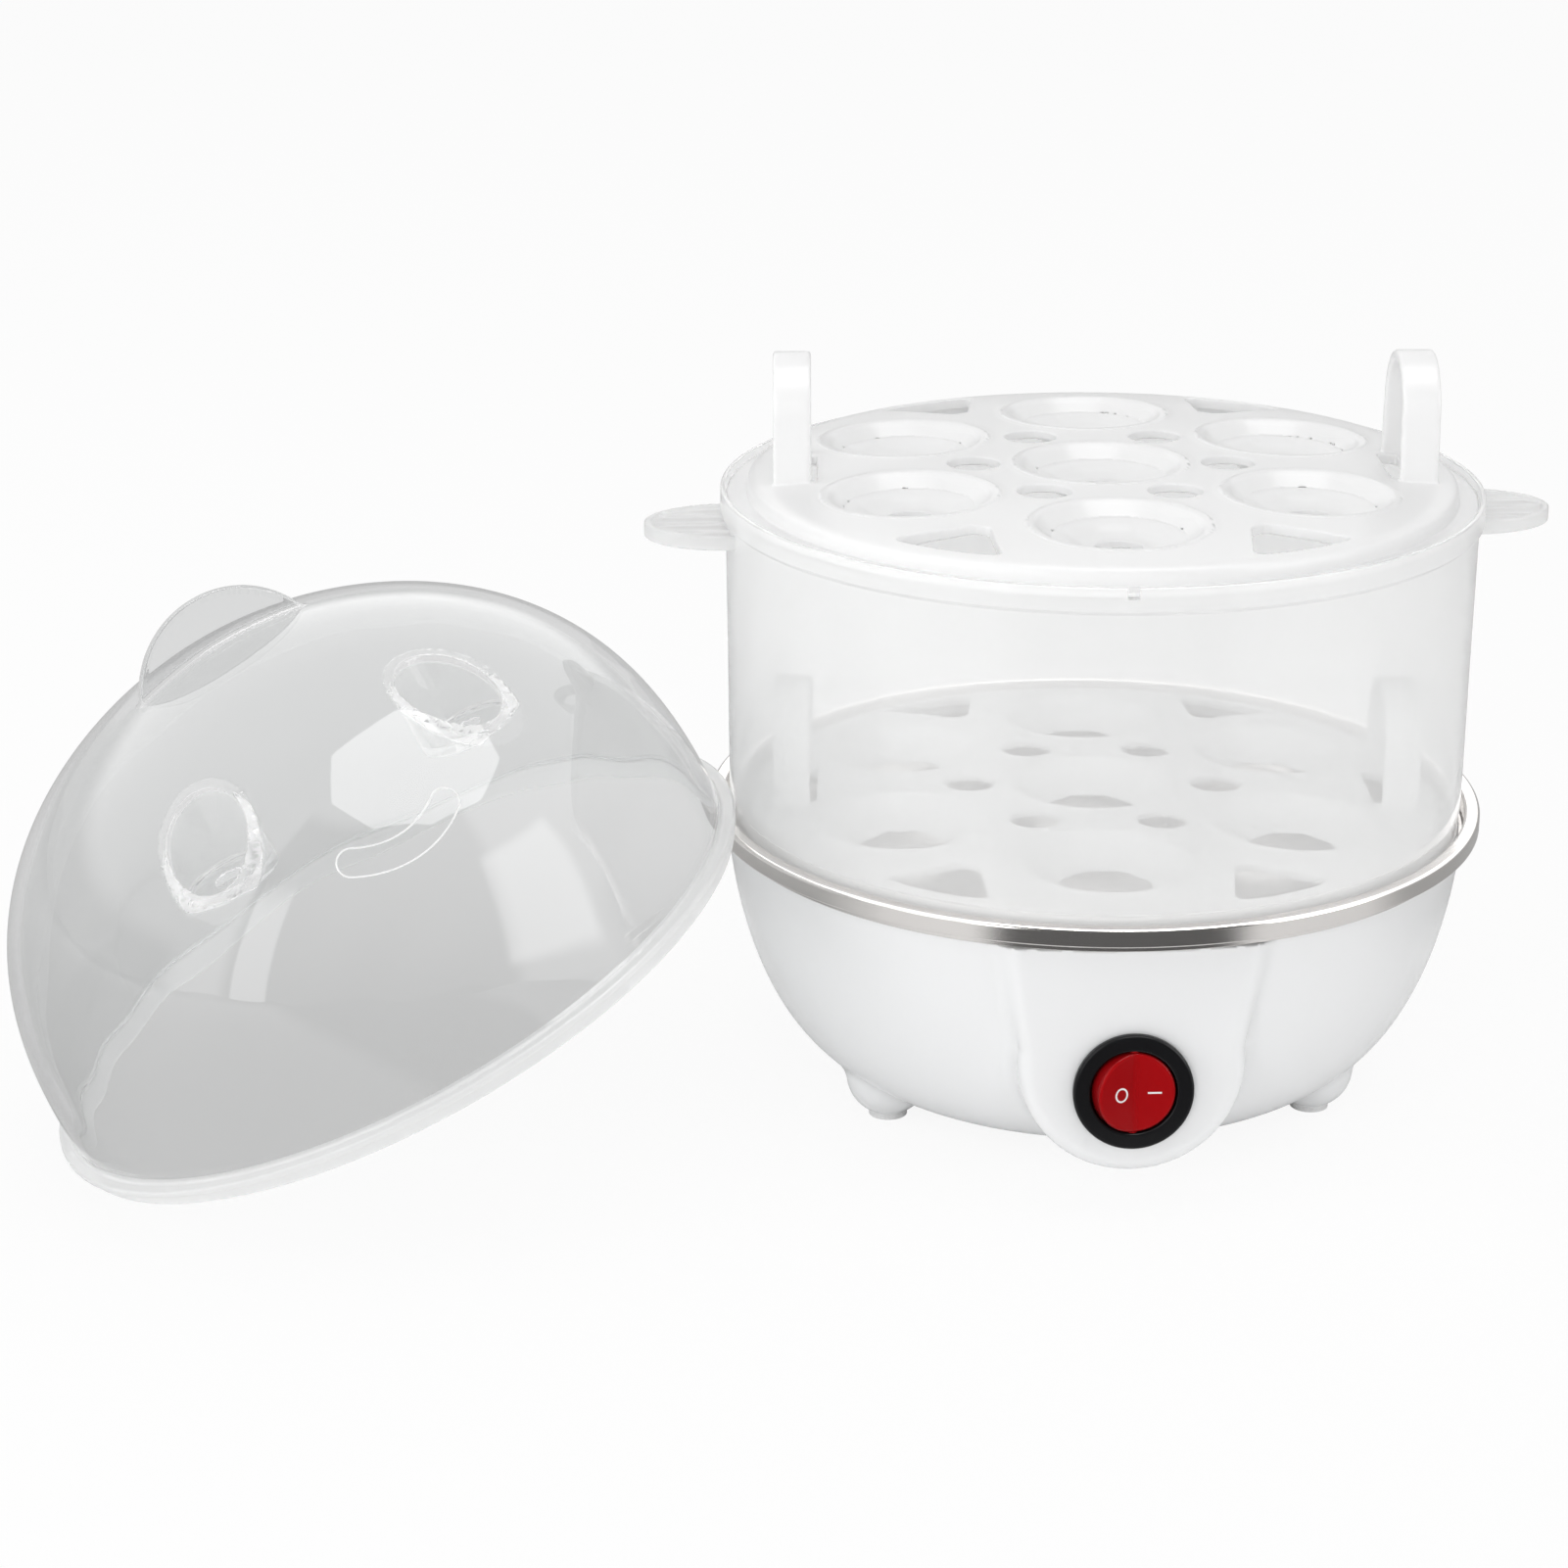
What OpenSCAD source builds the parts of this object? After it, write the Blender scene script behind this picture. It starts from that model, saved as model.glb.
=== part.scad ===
// Two-tier egg cooker: heated base with a steel water dish, two perforated
// egg trays, a clear steaming tier between them and a clear domed lid that
// stands tilted against the left side of the tier.
// Millimetres. +Z up, switch towards -Y, origin on the cooker's axis in the
// plane that the feet stand on.

/* [Base] */
// Largest radius of the base bowl
bowl_r = 75.1; // [74.6:0.1:75.4]
// Wall thickness of the base bowl
bowl_wall = 2.3; // [2:0.1:2.6]
// Height of the bowl's top edge above the table
bowl_top = 55.5; // [55.5:0.1:55.6]
// Radius of the circle that the three feet stand on
foot_ring_r = 50; // [48:0.5:51]
// Radius of a foot's rounded nub
foot_r = 8.5; // [8:0.1:9]

/* [Switch] */
// Height of the switch centre above the table
switch_z = 27; // [25:0.5:29]
// Distance of the switch panel in front of the axis, at switch height
panel_y = 74.8; // [74.6:0.1:75.4]
// Backward lean of the switch panel in degrees
panel_tilt = 3; // [1:0.5:4]
// Diameter of the switch bezel
bezel_d = 23; // [22:0.5:24]
// Diameter of the rocker ball
rocker_d = 16; // [15:0.5:16]
// Angle between the rocker's two settings
rocker_travel = 22; // [16:1:24]

/* [Dish and heater] */
// Outer radius of the dish's rolled bead
bead_r = 78.6; // [78:0.1:79.5]
// Height of the dish's water floor
dish_floor = 46; // [45:0.5:48]
// Sheet thickness of the dish
dish_t = 0.8; // [0.6:0.1:1]
// Radius of the heating element's centre line
element_r = 34; // [32:0.5:36]
// Diameter of the heating element's tube
element_d = 6.6; // [6:0.1:7]

/* [Trays] */
// Outer radius of both trays' flanges
tray_r = 74.6; // [74.4:0.1:74.7]
// Height of the lower tray's top face
lower_tray_z = 62.5; // [62.5:0.1:62.6]
// Height of the upper tray's top face
upper_tray_z = 129.6; // [129.6:0.1:129.7]
// Distance of the six outer cups from the axis
cup_ring_r = 44.7; // [44:0.1:45]
// Radius of an egg cup's mouth
cup_r = 15.5; // [15:0.1:16]
// Turn of the lower tray about the axis, in degrees
lower_turn = -3; // [-8:1:8]
// Turn of the upper tray about the axis, in degrees
upper_turn = -2; // [-8:1:8]

/* [Steaming tier] */
// Outer radius of the tier's top flange
tier_rim_r = 75.9; // [75.6:0.1:76.4]
// Reach of the two side grips from the axis
grip_reach = 91.2; // [88:0.1:94]
// Turn of the tier about the axis, in degrees
tier_turn = 2; // [-8:1:8]

/* [Lid] */
// Outer radius of the lid's flange
lid_flange_r = 75.6; // [75.4:0.1:75.8]
// Height of the dome above the flange
dome_h = 74.2; // [70:0.1:76]
// Wall thickness of the dome
lid_wall = 2; // [1.6:0.1:2.4]
// Tilt of the standing lid in degrees
lid_tilt = 25; // [22:0.5:28]
// Direction from the axis to the standing lid, in degrees
lid_az = 188.5; // [180:0.5:200]
// Width of the finger blade on the lid
blade_w = 37.3; // [34:0.1:40]
// Height of the finger blade
blade_h = 12.7; // [10:0.1:15]

/* [Hidden] */
$fn = 96;
e = 0.02;
gap = 0.05;

// ---- shared functions -------------------------------------------------
// Superellipse radius at depth d below the widest level.
function se(r, d, depth, p, q) = r * pow(max(0, 1 - pow(d / depth, p)), 1 / q);
// Bowl radius at height z, for a given wall inset.
bowl_z0 = 2.2;
bowl_depth = 54.6;
function bowl_rad(z, inset) = se(bowl_r - inset, 56 - z, bowl_depth - inset, 1.6, 5.5);
function bowl_zs(z0, z1, n) = [for (i = [0:n]) z0 + (z1 - z0) * (1 - cos(90 * i / n))];

foot_angles = [-150, -30, 90];
seat_z = 56.4;             // dish ledge that carries the lower tray

// Switch frame: x right, y up the panel, z out of the panel.
module at_panel() translate([0, -panel_y, switch_z]) rotate([90 - panel_tilt, 0, 0]) children();

// A bent wire: a tube of diameter d swept along a smooth curve through pts.
function unit(v) = v / norm(v);
function crv(a, b, c, d, t) = 0.5 * (2 * b + (c - a) * t + (2 * a - 5 * b + 4 * c - d) * t * t + (3 * b - a - 3 * c + d) * t * t * t);
function smooth(p, n) = let (m = len(p) - 1) concat(
    [for (i = [0:m - 1]) for (j = [0:n - 1]) crv(p[max(i - 1, 0)], p[i], p[i + 1], p[min(i + 2, m)], j / n)], [p[m]]);
function dir_at(p, i) = unit(p[min(i + 1, len(p) - 1)] - p[max(i - 1, 0)]);
function sides_from(p, i, n) = i >= len(p) ? [] :
    let (t = dir_at(p, i), m = unit(n - (n * t) * t)) concat([[m, cross(t, m)]], sides_from(p, i + 1, m));
module wire(pts, d, k = 8) {
    p = smooth(pts, 4);
    t0 = dir_at(p, 0);
    f = sides_from(p, 0, abs(t0[2]) < 0.8 ? [0, 0, 1] : [1, 0, 0]);
    m = len(p);
    polyhedron(
        points = [for (i = [0:m - 1]) for (j = [0:k - 1])
            p[i] + d / 2 * (cos(360 * j / k) * f[i][0] + sin(360 * j / k) * f[i][1])],
        faces = concat(
            [[for (j = [0:k - 1]) j]],
            [for (i = [0:m - 2]) for (j = [0:k - 1]) [(i + 1) * k + j, (i + 1) * k + (j + 1) % k, i * k + (j + 1) % k, i * k + j]],
            [[for (j = [k - 1:-1:0]) (m - 1) * k + j]]));
}

// ---- base -------------------------------------------------------------
boss_cz = 4.4;             // centre of the boss's round end, up from the switch
boss_r = 21.6;
boss_top_w = 24.6;
// Outline of the switch boss in the panel's own x and y, inset by k.
function boss_pts(k) = concat(
    [[boss_top_w - k, 30.4]],
    [for (a = [8:-14:-188]) [(boss_r - k) * cos(a), boss_cz + (boss_r - k) * sin(a)]],
    [[-boss_top_w + k, 30.4]]);

module bowl_outer() {
    zs = bowl_zs(bowl_z0, bowl_top, 18);
    rotate_extrude() polygon(concat([[0, bowl_z0]], [for (z = zs) [bowl_rad(z, 0), z]], [[0, bowl_top]]));
}
module bowl_inner() {
    zs = bowl_zs(bowl_z0 + bowl_wall + 0.2, bowl_top, 14);
    rotate_extrude() polygon(concat([[0, zs[0]]], [for (z = zs) [bowl_rad(z, bowl_wall), z]],
        [[bowl_r - bowl_wall, bowl_top + 1], [0, bowl_top + 1]]));
}
module boss_outer() {
    at_panel() {
        hull() {
            translate([0, 0, -0.3]) linear_extrude(0.3) polygon(boss_pts(3));
            translate([0, 0, -1.2]) linear_extrude(0.1) polygon(boss_pts(1));
            translate([0, 0, -3.4]) linear_extrude(0.2) polygon(boss_pts(0));
        }
        translate([0, 0, -34]) linear_extrude(30.8) polygon(boss_pts(0));
    }
}
module boss_inner() {
    at_panel() translate([0, 0, -36]) linear_extrude(33.6) polygon(boss_pts(bowl_wall + 0.6));
}
stub_y = 71.6;             // outer end of the cord stub
stub_z = 24;
module housing_bowl() {
    color("whitesmoke")
    difference() {
        union() {
            difference() {
                union() {
                    bowl_outer();
                    intersection() {
                        boss_outer();
                        translate([-40, -90, bowl_z0]) cube([80, 60, bowl_top - bowl_z0]);
                    }
                    translate([0, 56, stub_z]) rotate([-90, 0, 0]) cylinder(r = 8.8, h = stub_y - 56);
                    for (a = foot_angles) rotate([0, 0, a]) translate([foot_ring_r, 0, foot_r + 0.3])
                        sphere(r = foot_r);
                }
                bowl_inner();
                intersection() {
                    boss_inner();
                    translate([-40, -90, 5.2]) cube([80, 60, 60]);
                }
                translate([-60, -60, -5]) cube([120, 120, 6]);
            }
            // wall behind the cord stub, lugs for the clamp bar, posts for the
            // terminal block, collar round the bottom opening with screw posts
            intersection() {
                bowl_outer();
                union() {
                    translate([0, 58, stub_z]) rotate([-90, 0, 0]) cylinder(r = 8.8, h = 12);
                    for (s = [-1, 1]) translate([s * 62 - 10, -9, 31.6 + gap]) cube([20, 18, 6]);
                    for (s = [-1, 1]) translate([s * 9, 47, 3]) cylinder(r = 3, h = 9);
                }
            }
            difference() {
                translate([0, 0, 3.6]) cylinder(r = 37.5, h = 2.2);
                translate([0, 0, 3]) cylinder(r = 27, h = 4);
            }
            for (a = [30, 150, 270]) rotate([0, 0, a]) translate([31.2, 0, 3.6]) cylinder(r = 3.4, h = 8.4);
        }
        // switch hole
        at_panel() translate([0, 0, -8]) cylinder(d = 20.2, h = 12);
        // cord hole
        translate([0, 50, stub_z]) rotate([-90, 0, 0]) cylinder(r = 6, h = 30);
        // bottom opening, cover recess, screw pilots, pad pockets
        translate([0, 0, -1]) cylinder(r = 27, h = 8);
        translate([0, 0, -1]) cylinder(r = 35.3, h = 4.6);
        for (a = [30, 150, 270]) rotate([0, 0, a]) translate([31.2, 0, 2]) cylinder(d = 2.9, h = 9);
        for (a = foot_angles) rotate([0, 0, a]) translate([foot_ring_r, 0, -1]) cylinder(r = 4, h = 2.6);
    }
}
module foot_pads() {
    color("gainsboro")
    for (a = foot_angles) rotate([0, 0, a]) translate([foot_ring_r, 0, 0]) cylinder(r = 3.9, h = 1.6);
}
module bottom_cover() {
    color("white")
    difference() {
        union() {
            translate([0, 0, 2]) cylinder(r = 35, h = 1.6);
            difference() {
                translate([0, 0, 3.5]) cylinder(r = 26.6, h = 1.8);
                translate([0, 0, 3]) cylinder(r = 25, h = 4);
            }
        }
        for (a = [30, 150, 270]) rotate([0, 0, a]) translate([31.2, 0, 1]) cylinder(d = 3.2, h = 4);
        for (i = [-3:3]) translate([-13 + abs(i) * 1.4, i * 6 - 1.1, 1]) cube([26 - abs(i) * 2.8, 2.2, 4]);
    }
}
module cover_screws() {
    color("silver")
    for (a = [30, 150, 270]) rotate([0, 0, a]) translate([31.2, 0, 0]) {
        difference() {
            translate([0, 0, 0.6]) cylinder(r = 2.7, h = 1.4);
            translate([-1.8, -0.35, 0.5]) cube([3.6, 0.7, 0.7]);
            translate([-0.35, -1.8, 0.5]) cube([0.7, 3.6, 0.7]);
        }
        translate([0, 0, 1.9]) cylinder(d = 2.9, h = 8.6);
    }
}
module cord_bushing() {
    color("gainsboro")
    difference() {
        translate([0, 0, stub_z]) rotate([-90, 0, 0]) {
            translate([0, 0, 56]) cylinder(r = 5.85, h = stub_y - 55.6);
            translate([0, 0, stub_y]) cylinder(r = 8.2, h = 2);
            translate([0, 0, 55.6]) cylinder(r = 7.2, h = 2.2);
        }
        translate([0, 50, stub_z]) rotate([-90, 0, 0]) cylinder(r = 3.5, h = 30);
    }
}

// ---- dish and heater ----------------------------------------------------
module steel_dish() {
    f = dish_floor;
    t = dish_t;
    color("silver")
    rotate_extrude() polygon(concat(
        // inside face: floor, rounded corner, wall, ledge, upright
        [[0, f]],
        [for (a = [-90:15:-15]) [60 + 8 * cos(a), f + 8 + 8 * sin(a)]],
        [[71.2, seat_z - 0.5], [71.6, seat_z], [75.5, seat_z], [75.5, 59.4]],
        // rolled bead
        [for (a = [180:-20:0]) [77.05 + 1.55 * cos(a), 59.4 + 1.5 * sin(a)]],
        [[bead_r, 58.4], [78.3, 57.5], [77.6, 57.2], [77.2, 57.4], [77.0, 58.0], [76.3, 58.0]],
        // outside face back to the axis
        [[76.3, seat_z - t], [71.4, seat_z - t], [70.6, seat_z - t - 0.6]],
        [for (a = [-15:-15:-90]) [60 + (8 - t / 4) * cos(a), f + 8 - t + (8 - t / 4) * sin(a) + t / 4 * 0]],
        [[0, f - t]]));
}
module heat_spreader() {
    color("lightgray")
    difference() {
        translate([0, 0, dish_floor - dish_t - 3 - 0.2]) cylinder(r = 45, h = 3);
        cylinder(r = 2.7, h = 80);
        for (s = [-1, 1]) translate([s * 13, 17, 40]) cylinder(d = 2.6, h = 4);
    }
}
spreader_z = dish_floor - dish_t - 3 - 0.2;       // underside of the spreader
element_z = spreader_z - element_d / 2;
module heating_element() {
    color("dimgray") {
        rotate([0, 0, -60]) translate([0, 0, element_z]) rotate_extrude(angle = 300)
            translate([element_r, 0]) circle(d = element_d, $fn = 32);
        for (a = [-60, -120]) rotate([0, 0, a]) translate([element_r, 0, element_z]) {
            sphere(d = element_d, $fn = 32);
            translate([0, 0, -9]) cylinder(d = element_d, h = 9, $fn = 32);
        }
    }
}
module element_terminals() {
    color("ivory")
    for (a = [-60, -120]) rotate([0, 0, a]) translate([element_r, 0, element_z - 9]) {
        translate([0, 0, -2.5]) cylinder(d = 5.4, h = 2.5, $fn = 32);
        translate([-2.4, -0.4, -8.5]) cube([4.8, 0.8, 6.1]);
    }
}
module dish_stud() {
    color("silver") translate([0, 0, 22.5]) cylinder(d = 5, h = dish_floor - dish_t - 22.5);
}
module clamp_bar() {
    color("silver")
    difference() {
        union() {
            translate([-60, -7, 30]) cube([120, 14, 1.6]);
            for (s = [-1, 1]) translate([-58, s * 6.2 - 0.8, 27.5]) cube([116, 1.6, 3]);
        }
        cylinder(d = 5.4, h = 60);
    }
}
module clamp_nut() {
    color("silver")
    difference() {
        union() {
            translate([0, 0, 25.6]) cylinder(r = 4.6, h = 3.6, $fn = 6);
            translate([0, 0, 29.2]) cylinder(r = 5.2, h = 0.8);
        }
        cylinder(d = 5, h = 60);
    }
}
module thermostat() {
    color("gray") translate([0, 17, 0]) {
        translate([0, 0, spreader_z - 3.9]) cylinder(r = 7.7, h = 3.9);
        translate([0, 0, spreader_z - 10.7]) cylinder(r = 8.3, h = 7);
        for (s = [-1, 1]) translate([s * 5 - 0.4, -2.4, spreader_z - 17]) cube([0.8, 4.8, 6.8]);
    }
}
module thermostat_bracket() {
    color("silver")
    difference() {
        translate([0, 17, spreader_z - 3.6]) {
            cylinder(r = 10, h = 0.8);
            translate([-16.5, -4, 0]) cube([33, 8, 0.8]);
            for (s = [-1, 1]) translate([s * 14.25 - 2.25, -4, 0]) cube([4.5, 8, 3.6]);
        }
        translate([0, 17, 20]) cylinder(r = 7.9, h = 40);
        for (s = [-1, 1]) translate([s * 13, 17, 20]) cylinder(d = 2.6, h = 40);
    }
}
module bracket_screws() {
    color("silver")
    for (s = [-1, 1]) translate([s * 13, 17, 0]) {
        translate([0, 0, spreader_z - 5.2]) cylinder(r = 2.4, h = 1.6);
        translate([0, 0, spreader_z - 3.8]) cylinder(d = 2.6, h = 5.4);
    }
}
module thermal_fuse() {
    color("white") {
        translate([-16, -14, spreader_z - 3.2]) rotate([-90, 0, 0]) cylinder(r = 2.6, h = 16, $fn = 32);
        for (y = [-17, 2]) translate([-16, y, spreader_z - 3.2]) rotate([-90, 0, 0]) cylinder(r = 0.6, h = 3, $fn = 24);
    }
}
module fuse_clip() {
    color("silver")
    difference() {
        translate([-20.2, -10, spreader_z - 6.8]) cube([8.4, 7, 6.8]);
        translate([-16, -12, spreader_z - 3.2]) rotate([-90, 0, 0]) cylinder(r = 2.7, h = 16, $fn = 32);
        translate([-18.7, -12, spreader_z - 3.2]) cube([5.4, 16, 6]);
    }
}
module terminal_block() {
    color("beige")
    difference() {
        translate([-14, 42, 12]) cube([28, 10, 8]);
        for (x = [-9, 0, 9]) {
            translate([x, 41, 16]) rotate([-90, 0, 0]) cylinder(d = 3, h = 12, $fn = 24);
            translate([x, 47, 16]) cylinder(d = 3, h = 6, $fn = 24);
        }
    }
}

// ---- switch -------------------------------------------------------------
pivot_out = 0.5;           // rocker pivot in front of the panel face
pin_r = 1;
module switch_body() {
    color("black")
    at_panel() difference() {
        union() {
            cylinder(d = bezel_d, h = 1.4);
            translate([0, 0, 1.3]) cylinder(d1 = bezel_d - 0.2, d2 = bezel_d - 2.2, h = 0.7);
            translate([0, 0, -18]) cylinder(r = 10, h = 18.2);
        }
        translate([0, 0, -6.8]) cylinder(d = rocker_d + 0.5, h = 12);
        translate([0, 0, -16.4]) cylinder(r = 7.6, h = 8.4);
        translate([0, 10.2, pivot_out]) rotate([90, 0, 0]) cylinder(r = pin_r + 0.05, h = 20.4, $fn = 32);
        for (x = [-5, 0, 5]) translate([x - 2.45, -0.45, -20]) cube([4.9, 0.9, 6]);
    }
}
module switch_terminals() {
    color("goldenrod")
    at_panel() for (x = [-5, 0, 5]) translate([x - 2.1, -0.4, -26]) cube([4.2, 0.8, 11]);
}
module indicator_lamp() {
    color("orange")
    at_panel() translate([0, 4.6, -12]) rotate([90, 0, 0]) cylinder(d = 4.4, h = 9.2, $fn = 32);
}
module rocker_button() {
    color("red")
    at_panel() translate([0, 0, pivot_out]) rotate([0, rocker_travel / 2, 0]) {
        difference() {
            intersection() {
                sphere(d = rocker_d);
                // two flat faces that meet in a shallow valley over the pivot
                rotate([90, 0, 0]) translate([0, 0, -9]) linear_extrude(18)
                    polygon([[-9, -3.4], [9, -3.4], [9, 3.2], [0, 1.4], [-9, 3.2]]);
            }
            translate([-5.6, -4, -4]) cube([11.2, 8, 3.6]);
        }
        for (s = [-1, 1]) rotate([s * 90, 0, 0]) translate([0, 0, 7]) cylinder(r = pin_r, h = 2.6, $fn = 32);
    }
}

// ---- leads --------------------------------------------------------------
function panel_pt(x, y, z) = [x,
    -panel_y + y * cos(90 - panel_tilt) - z * sin(90 - panel_tilt),
    switch_z + y * sin(90 - panel_tilt) + z * cos(90 - panel_tilt)];
module live_lead() { color("saddlebrown")
    wire([[-9, 41.8, 16], [-9, 37, 16], [-30, 32, 14], [-42, 14, 14], [-42, -12, 14], [-26, -34, 17],
          panel_pt(-5, 0, -34), panel_pt(-5, 0, -30), panel_pt(-5, 0, -26.6)], 2.4); }
module neutral_lead() { color("royalblue")
    wire([[0, 41.8, 16], [0, 37.5, 16], [5, 32, 12], [17, 30.5, 11], [32, 26, 12.5], [42, 12, 14], [42, -12, 14],
          [30, -27, 15], [17, -29.45, 17.5], [17, -29.45, 21]], 2.4); }
module switched_lead() { color("black")
    wire([panel_pt(0, 0, -26.4), panel_pt(0, 0, -30), [8, -32, 14], [16, -14, 13], [15, 8, 13], [7, 16.6, 17],
          [5, 17, 20.5], [5, 17, spreader_z - 17.2]], 2.2); }
module fuse_lead() { color("white")
    wire([[-5, 17, spreader_z - 17.2], [-5, 17, 20.5], [-14, 14, 20], [-22, 11, 26], [-20, 10.5, 34],
          [-16, 8.5, spreader_z - 3.4], [-16, 5.2, spreader_z - 3.2]], 1.8);
    color("white")
    wire([[-16, -17.2, spreader_z - 3.2], [-16, -20, spreader_z - 3.6], [-13, -22, 30], [-12, -25, 20],
          [-17, -29.45, 17.5], [-17, -29.45, 21]], 1.8); }
module earth_lead() { color("seagreen") {
    wire([[9, 41.8, 16], [9, 37.5, 16], [14, 28, 19], [13, 15, 21.5], [7, 9, 23.6], [4.2, 7.2, 24.6]], 2);
    difference() {
        union() {
            translate([0, 0, 24]) cylinder(r = 4.4, h = 1.5);
            translate([2.2, 3.2, 24]) rotate([0, 0, 30]) cube([2.4, 4.6, 1.2]);
        }
        cylinder(d = 5, h = 60);
    } } }
module lamp_lead() { color("royalblue")
    wire([panel_pt(5, 0, -26.4), panel_pt(5, 0, -29), [12, -42, 18], [18.6, -33, 17.4], [19.2, -31.2, 19.5],
          [18.6, -30.6, 21.1]], 1.6); }

// ---- trays --------------------------------------------------------------
// Both trays have the same plate, with z = 0 at its middle. The upper tray's cups
// have a floor with a small hole; the lower tray's cups are open underneath.
cup_d = 4.8;               // depth of the cup floor
open_r = 8.6;              // radius of an open cup's underside
strap_x = 61.5;            // centre of the loop handles
tray_h = 6.1;              // height of the crown above the flange's underside
// Crowned top with a rounded shoulder, a short wall and a flange round it.
crown = [[0, 0], [26, 0], [36, -0.1], [45, -0.35], [53, -0.62], [60, -0.9], [66, -1.3],
         [68.2, -1.55], [69.4, -1.85], [70.2, -2.4], [70.6, -3.4]];
module tray_disc() {
    rotate_extrude($fn = 128) polygon(concat(crown, [
        [70.6, -tray_h + 0.9], [tray_r - 0.2, -tray_h + 0.9], [tray_r, -tray_h + 0.7], [tray_r, -tray_h],
        [68.9, -tray_h], [68.7, -4], [66, -3.5], [60, -3.1], [45, -2.2], [26, -1.8], [0, -1.8]]));
}
// Places a piece at outer cup k, in the crown's slope, or at the middle for k = 6.
module at_cup(k) rotate([0, 0, 30 + 60 * k]) translate([k == 6 ? 0 : cup_ring_r, 0, k == 6 ? 0 : -0.42])
    rotate([0, k == 6 ? 0 : 1.8, 0]) children();
module tray(open) {
    difference() {
        union() {
            tray_disc();
            intersection() {
                for (k = [0:6]) at_cup(k) {
                    translate([0, 0, -cup_d - 1.4]) cylinder(r1 = open ? open_r + 1.8 : 8.4, r2 = cup_r + 1.2, h = cup_d + 1.3);
                    translate([0, 0, -1]) cylinder(r = cup_r + 1.1, h = 1.3);
                }
                rotate_extrude($fn = 128) polygon(concat(crown, [[70.6, -9], [0, -9]]));
            }
            for (s = [-1, 1]) intersection() {
                translate([s * strap_x, 0, 0]) loop_frame();
                translate([-90, -30, -2.4]) cube([180, 60, 40]);
            }
        }
        for (k = [0:6]) at_cup(k) {
            if (open) translate([0, 0, -cup_d - 1.5]) cylinder(r1 = open_r, r2 = cup_r - 0.3, h = cup_d + 1.52);
            else translate([0, 0, -cup_d]) cylinder(r1 = 7.2, r2 = cup_r - 0.3, h = cup_d + 0.02);
            translate([0, 0, 0]) cylinder(r1 = cup_r - 0.3, r2 = cup_r + 0.6, h = 0.9);
            translate([0, 0, -cup_d - 3]) cylinder(r = 4.6, h = 4);
        }
        for (k = [0:5]) rotate([0, 0, 60 * k]) translate([25.33, 0, -5]) cylinder(d = 10.4, h = 8, $fn = 48);
        for (a = [60, 120, 240, 300]) rotate([0, 0, a]) translate([0, 0, -5]) linear_extrude(8)
            polygon([[52.2, -1], [52.2, 1], [52.8, 2.2], [64.2, 10.3], [65.4, 10.6], [66.3, 9.7], [67.2, 5], [67.4, 0],
                     [67.2, -5], [66.3, -9.7], [65.4, -10.6], [64.2, -10.3], [52.8, -2.2]]);
        // slot under each loop
        for (s = [-1, 1]) translate([s * (strap_x - 2.9) - 2, -9.7, -5]) cube([4, 19.4, 10]);
    }
}
// Loop handle: a strap 7.5 wide that arches 22.5 above the tray.
module loop_frame() {
    rotate([90, 0, 90]) translate([0, 0, -3.75]) linear_extrude(7.5) difference() {
        polygon(concat([[12.9, -2.4]], [for (a = [0:10:180]) [11.6 * cos(a), 11 + 11.5 * sin(a)]], [[-12.9, -2.4]]));
        polygon(concat([[10.8, -3]], [for (a = [0:10:180]) [9.6 * cos(a), 11 + 9.5 * sin(a)]], [[-10.8, -3]]));
    }
}
module lower_tray() {
    color("white") translate([0, 0, lower_tray_z + gap]) rotate([0, 0, lower_turn]) tray(true);
}
module upper_tray() {
    color("white") translate([0, 0, upper_tray_z + 2 * gap]) rotate([0, 0, upper_turn]) tray(false);
}

// ---- steaming tier ------------------------------------------------------
grip_w = 13;
function grip_pts(k) = [for (a = [-90:10:90]) [74 + (grip_reach - 74 - k) * cos(a), (grip_w - k) * sin(a)]];
module steam_tier() {
    z0 = lower_tray_z - tray_h + 0.9 + 2 * gap;
    zr = upper_tray_z - tray_h + gap;
    color("ghostwhite") rotate([0, 0, tier_turn]) {
        difference() {
            rotate_extrude($fn = 128) polygon([
                [73.2, z0], [74.2, z0], [74.3, z0 + 0.4], [74.3, 61.9], [74.65, 62.3], [74.7, 90], [74.9, zr - 3.2],
                [75.2, zr - 2.7], [tier_rim_r, zr - 2.4], [tier_rim_r, zr + 2], [tier_rim_r - 0.2, zr + 2.2],
                [74.9, zr + 2.2], [74.9, zr], [72.9, zr], [72.9, zr - 3], [73.1, zr - 4], [73.1, 90]]);
            // index notch in the lip
            rotate([0, 0, -94]) translate([74, -1.05, zr + e]) cube([3, 2.1, 4]);
        }
        for (s = [0, 180]) rotate([0, 0, s]) difference() {
            union() {
                difference() {
                    translate([0, 0, 116.7]) linear_extrude(2.9) polygon(grip_pts(0));
                    translate([0, 0, 115]) linear_extrude(6) polygon(grip_pts(1.5));
                }
                translate([0, 0, 117.5]) linear_extrude(1.2) polygon(grip_pts(0.8));
                intersection() {
                    for (y = [-6, 0, 6]) translate([73, y - 0.7, 116.9]) cube([20, 1.4, 2.5]);
                    translate([0, 0, 116.7]) linear_extrude(2.9) polygon(grip_pts(0.5));
                }
            }
            cylinder(r = 74, h = 200);
        }
    }
}

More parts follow.
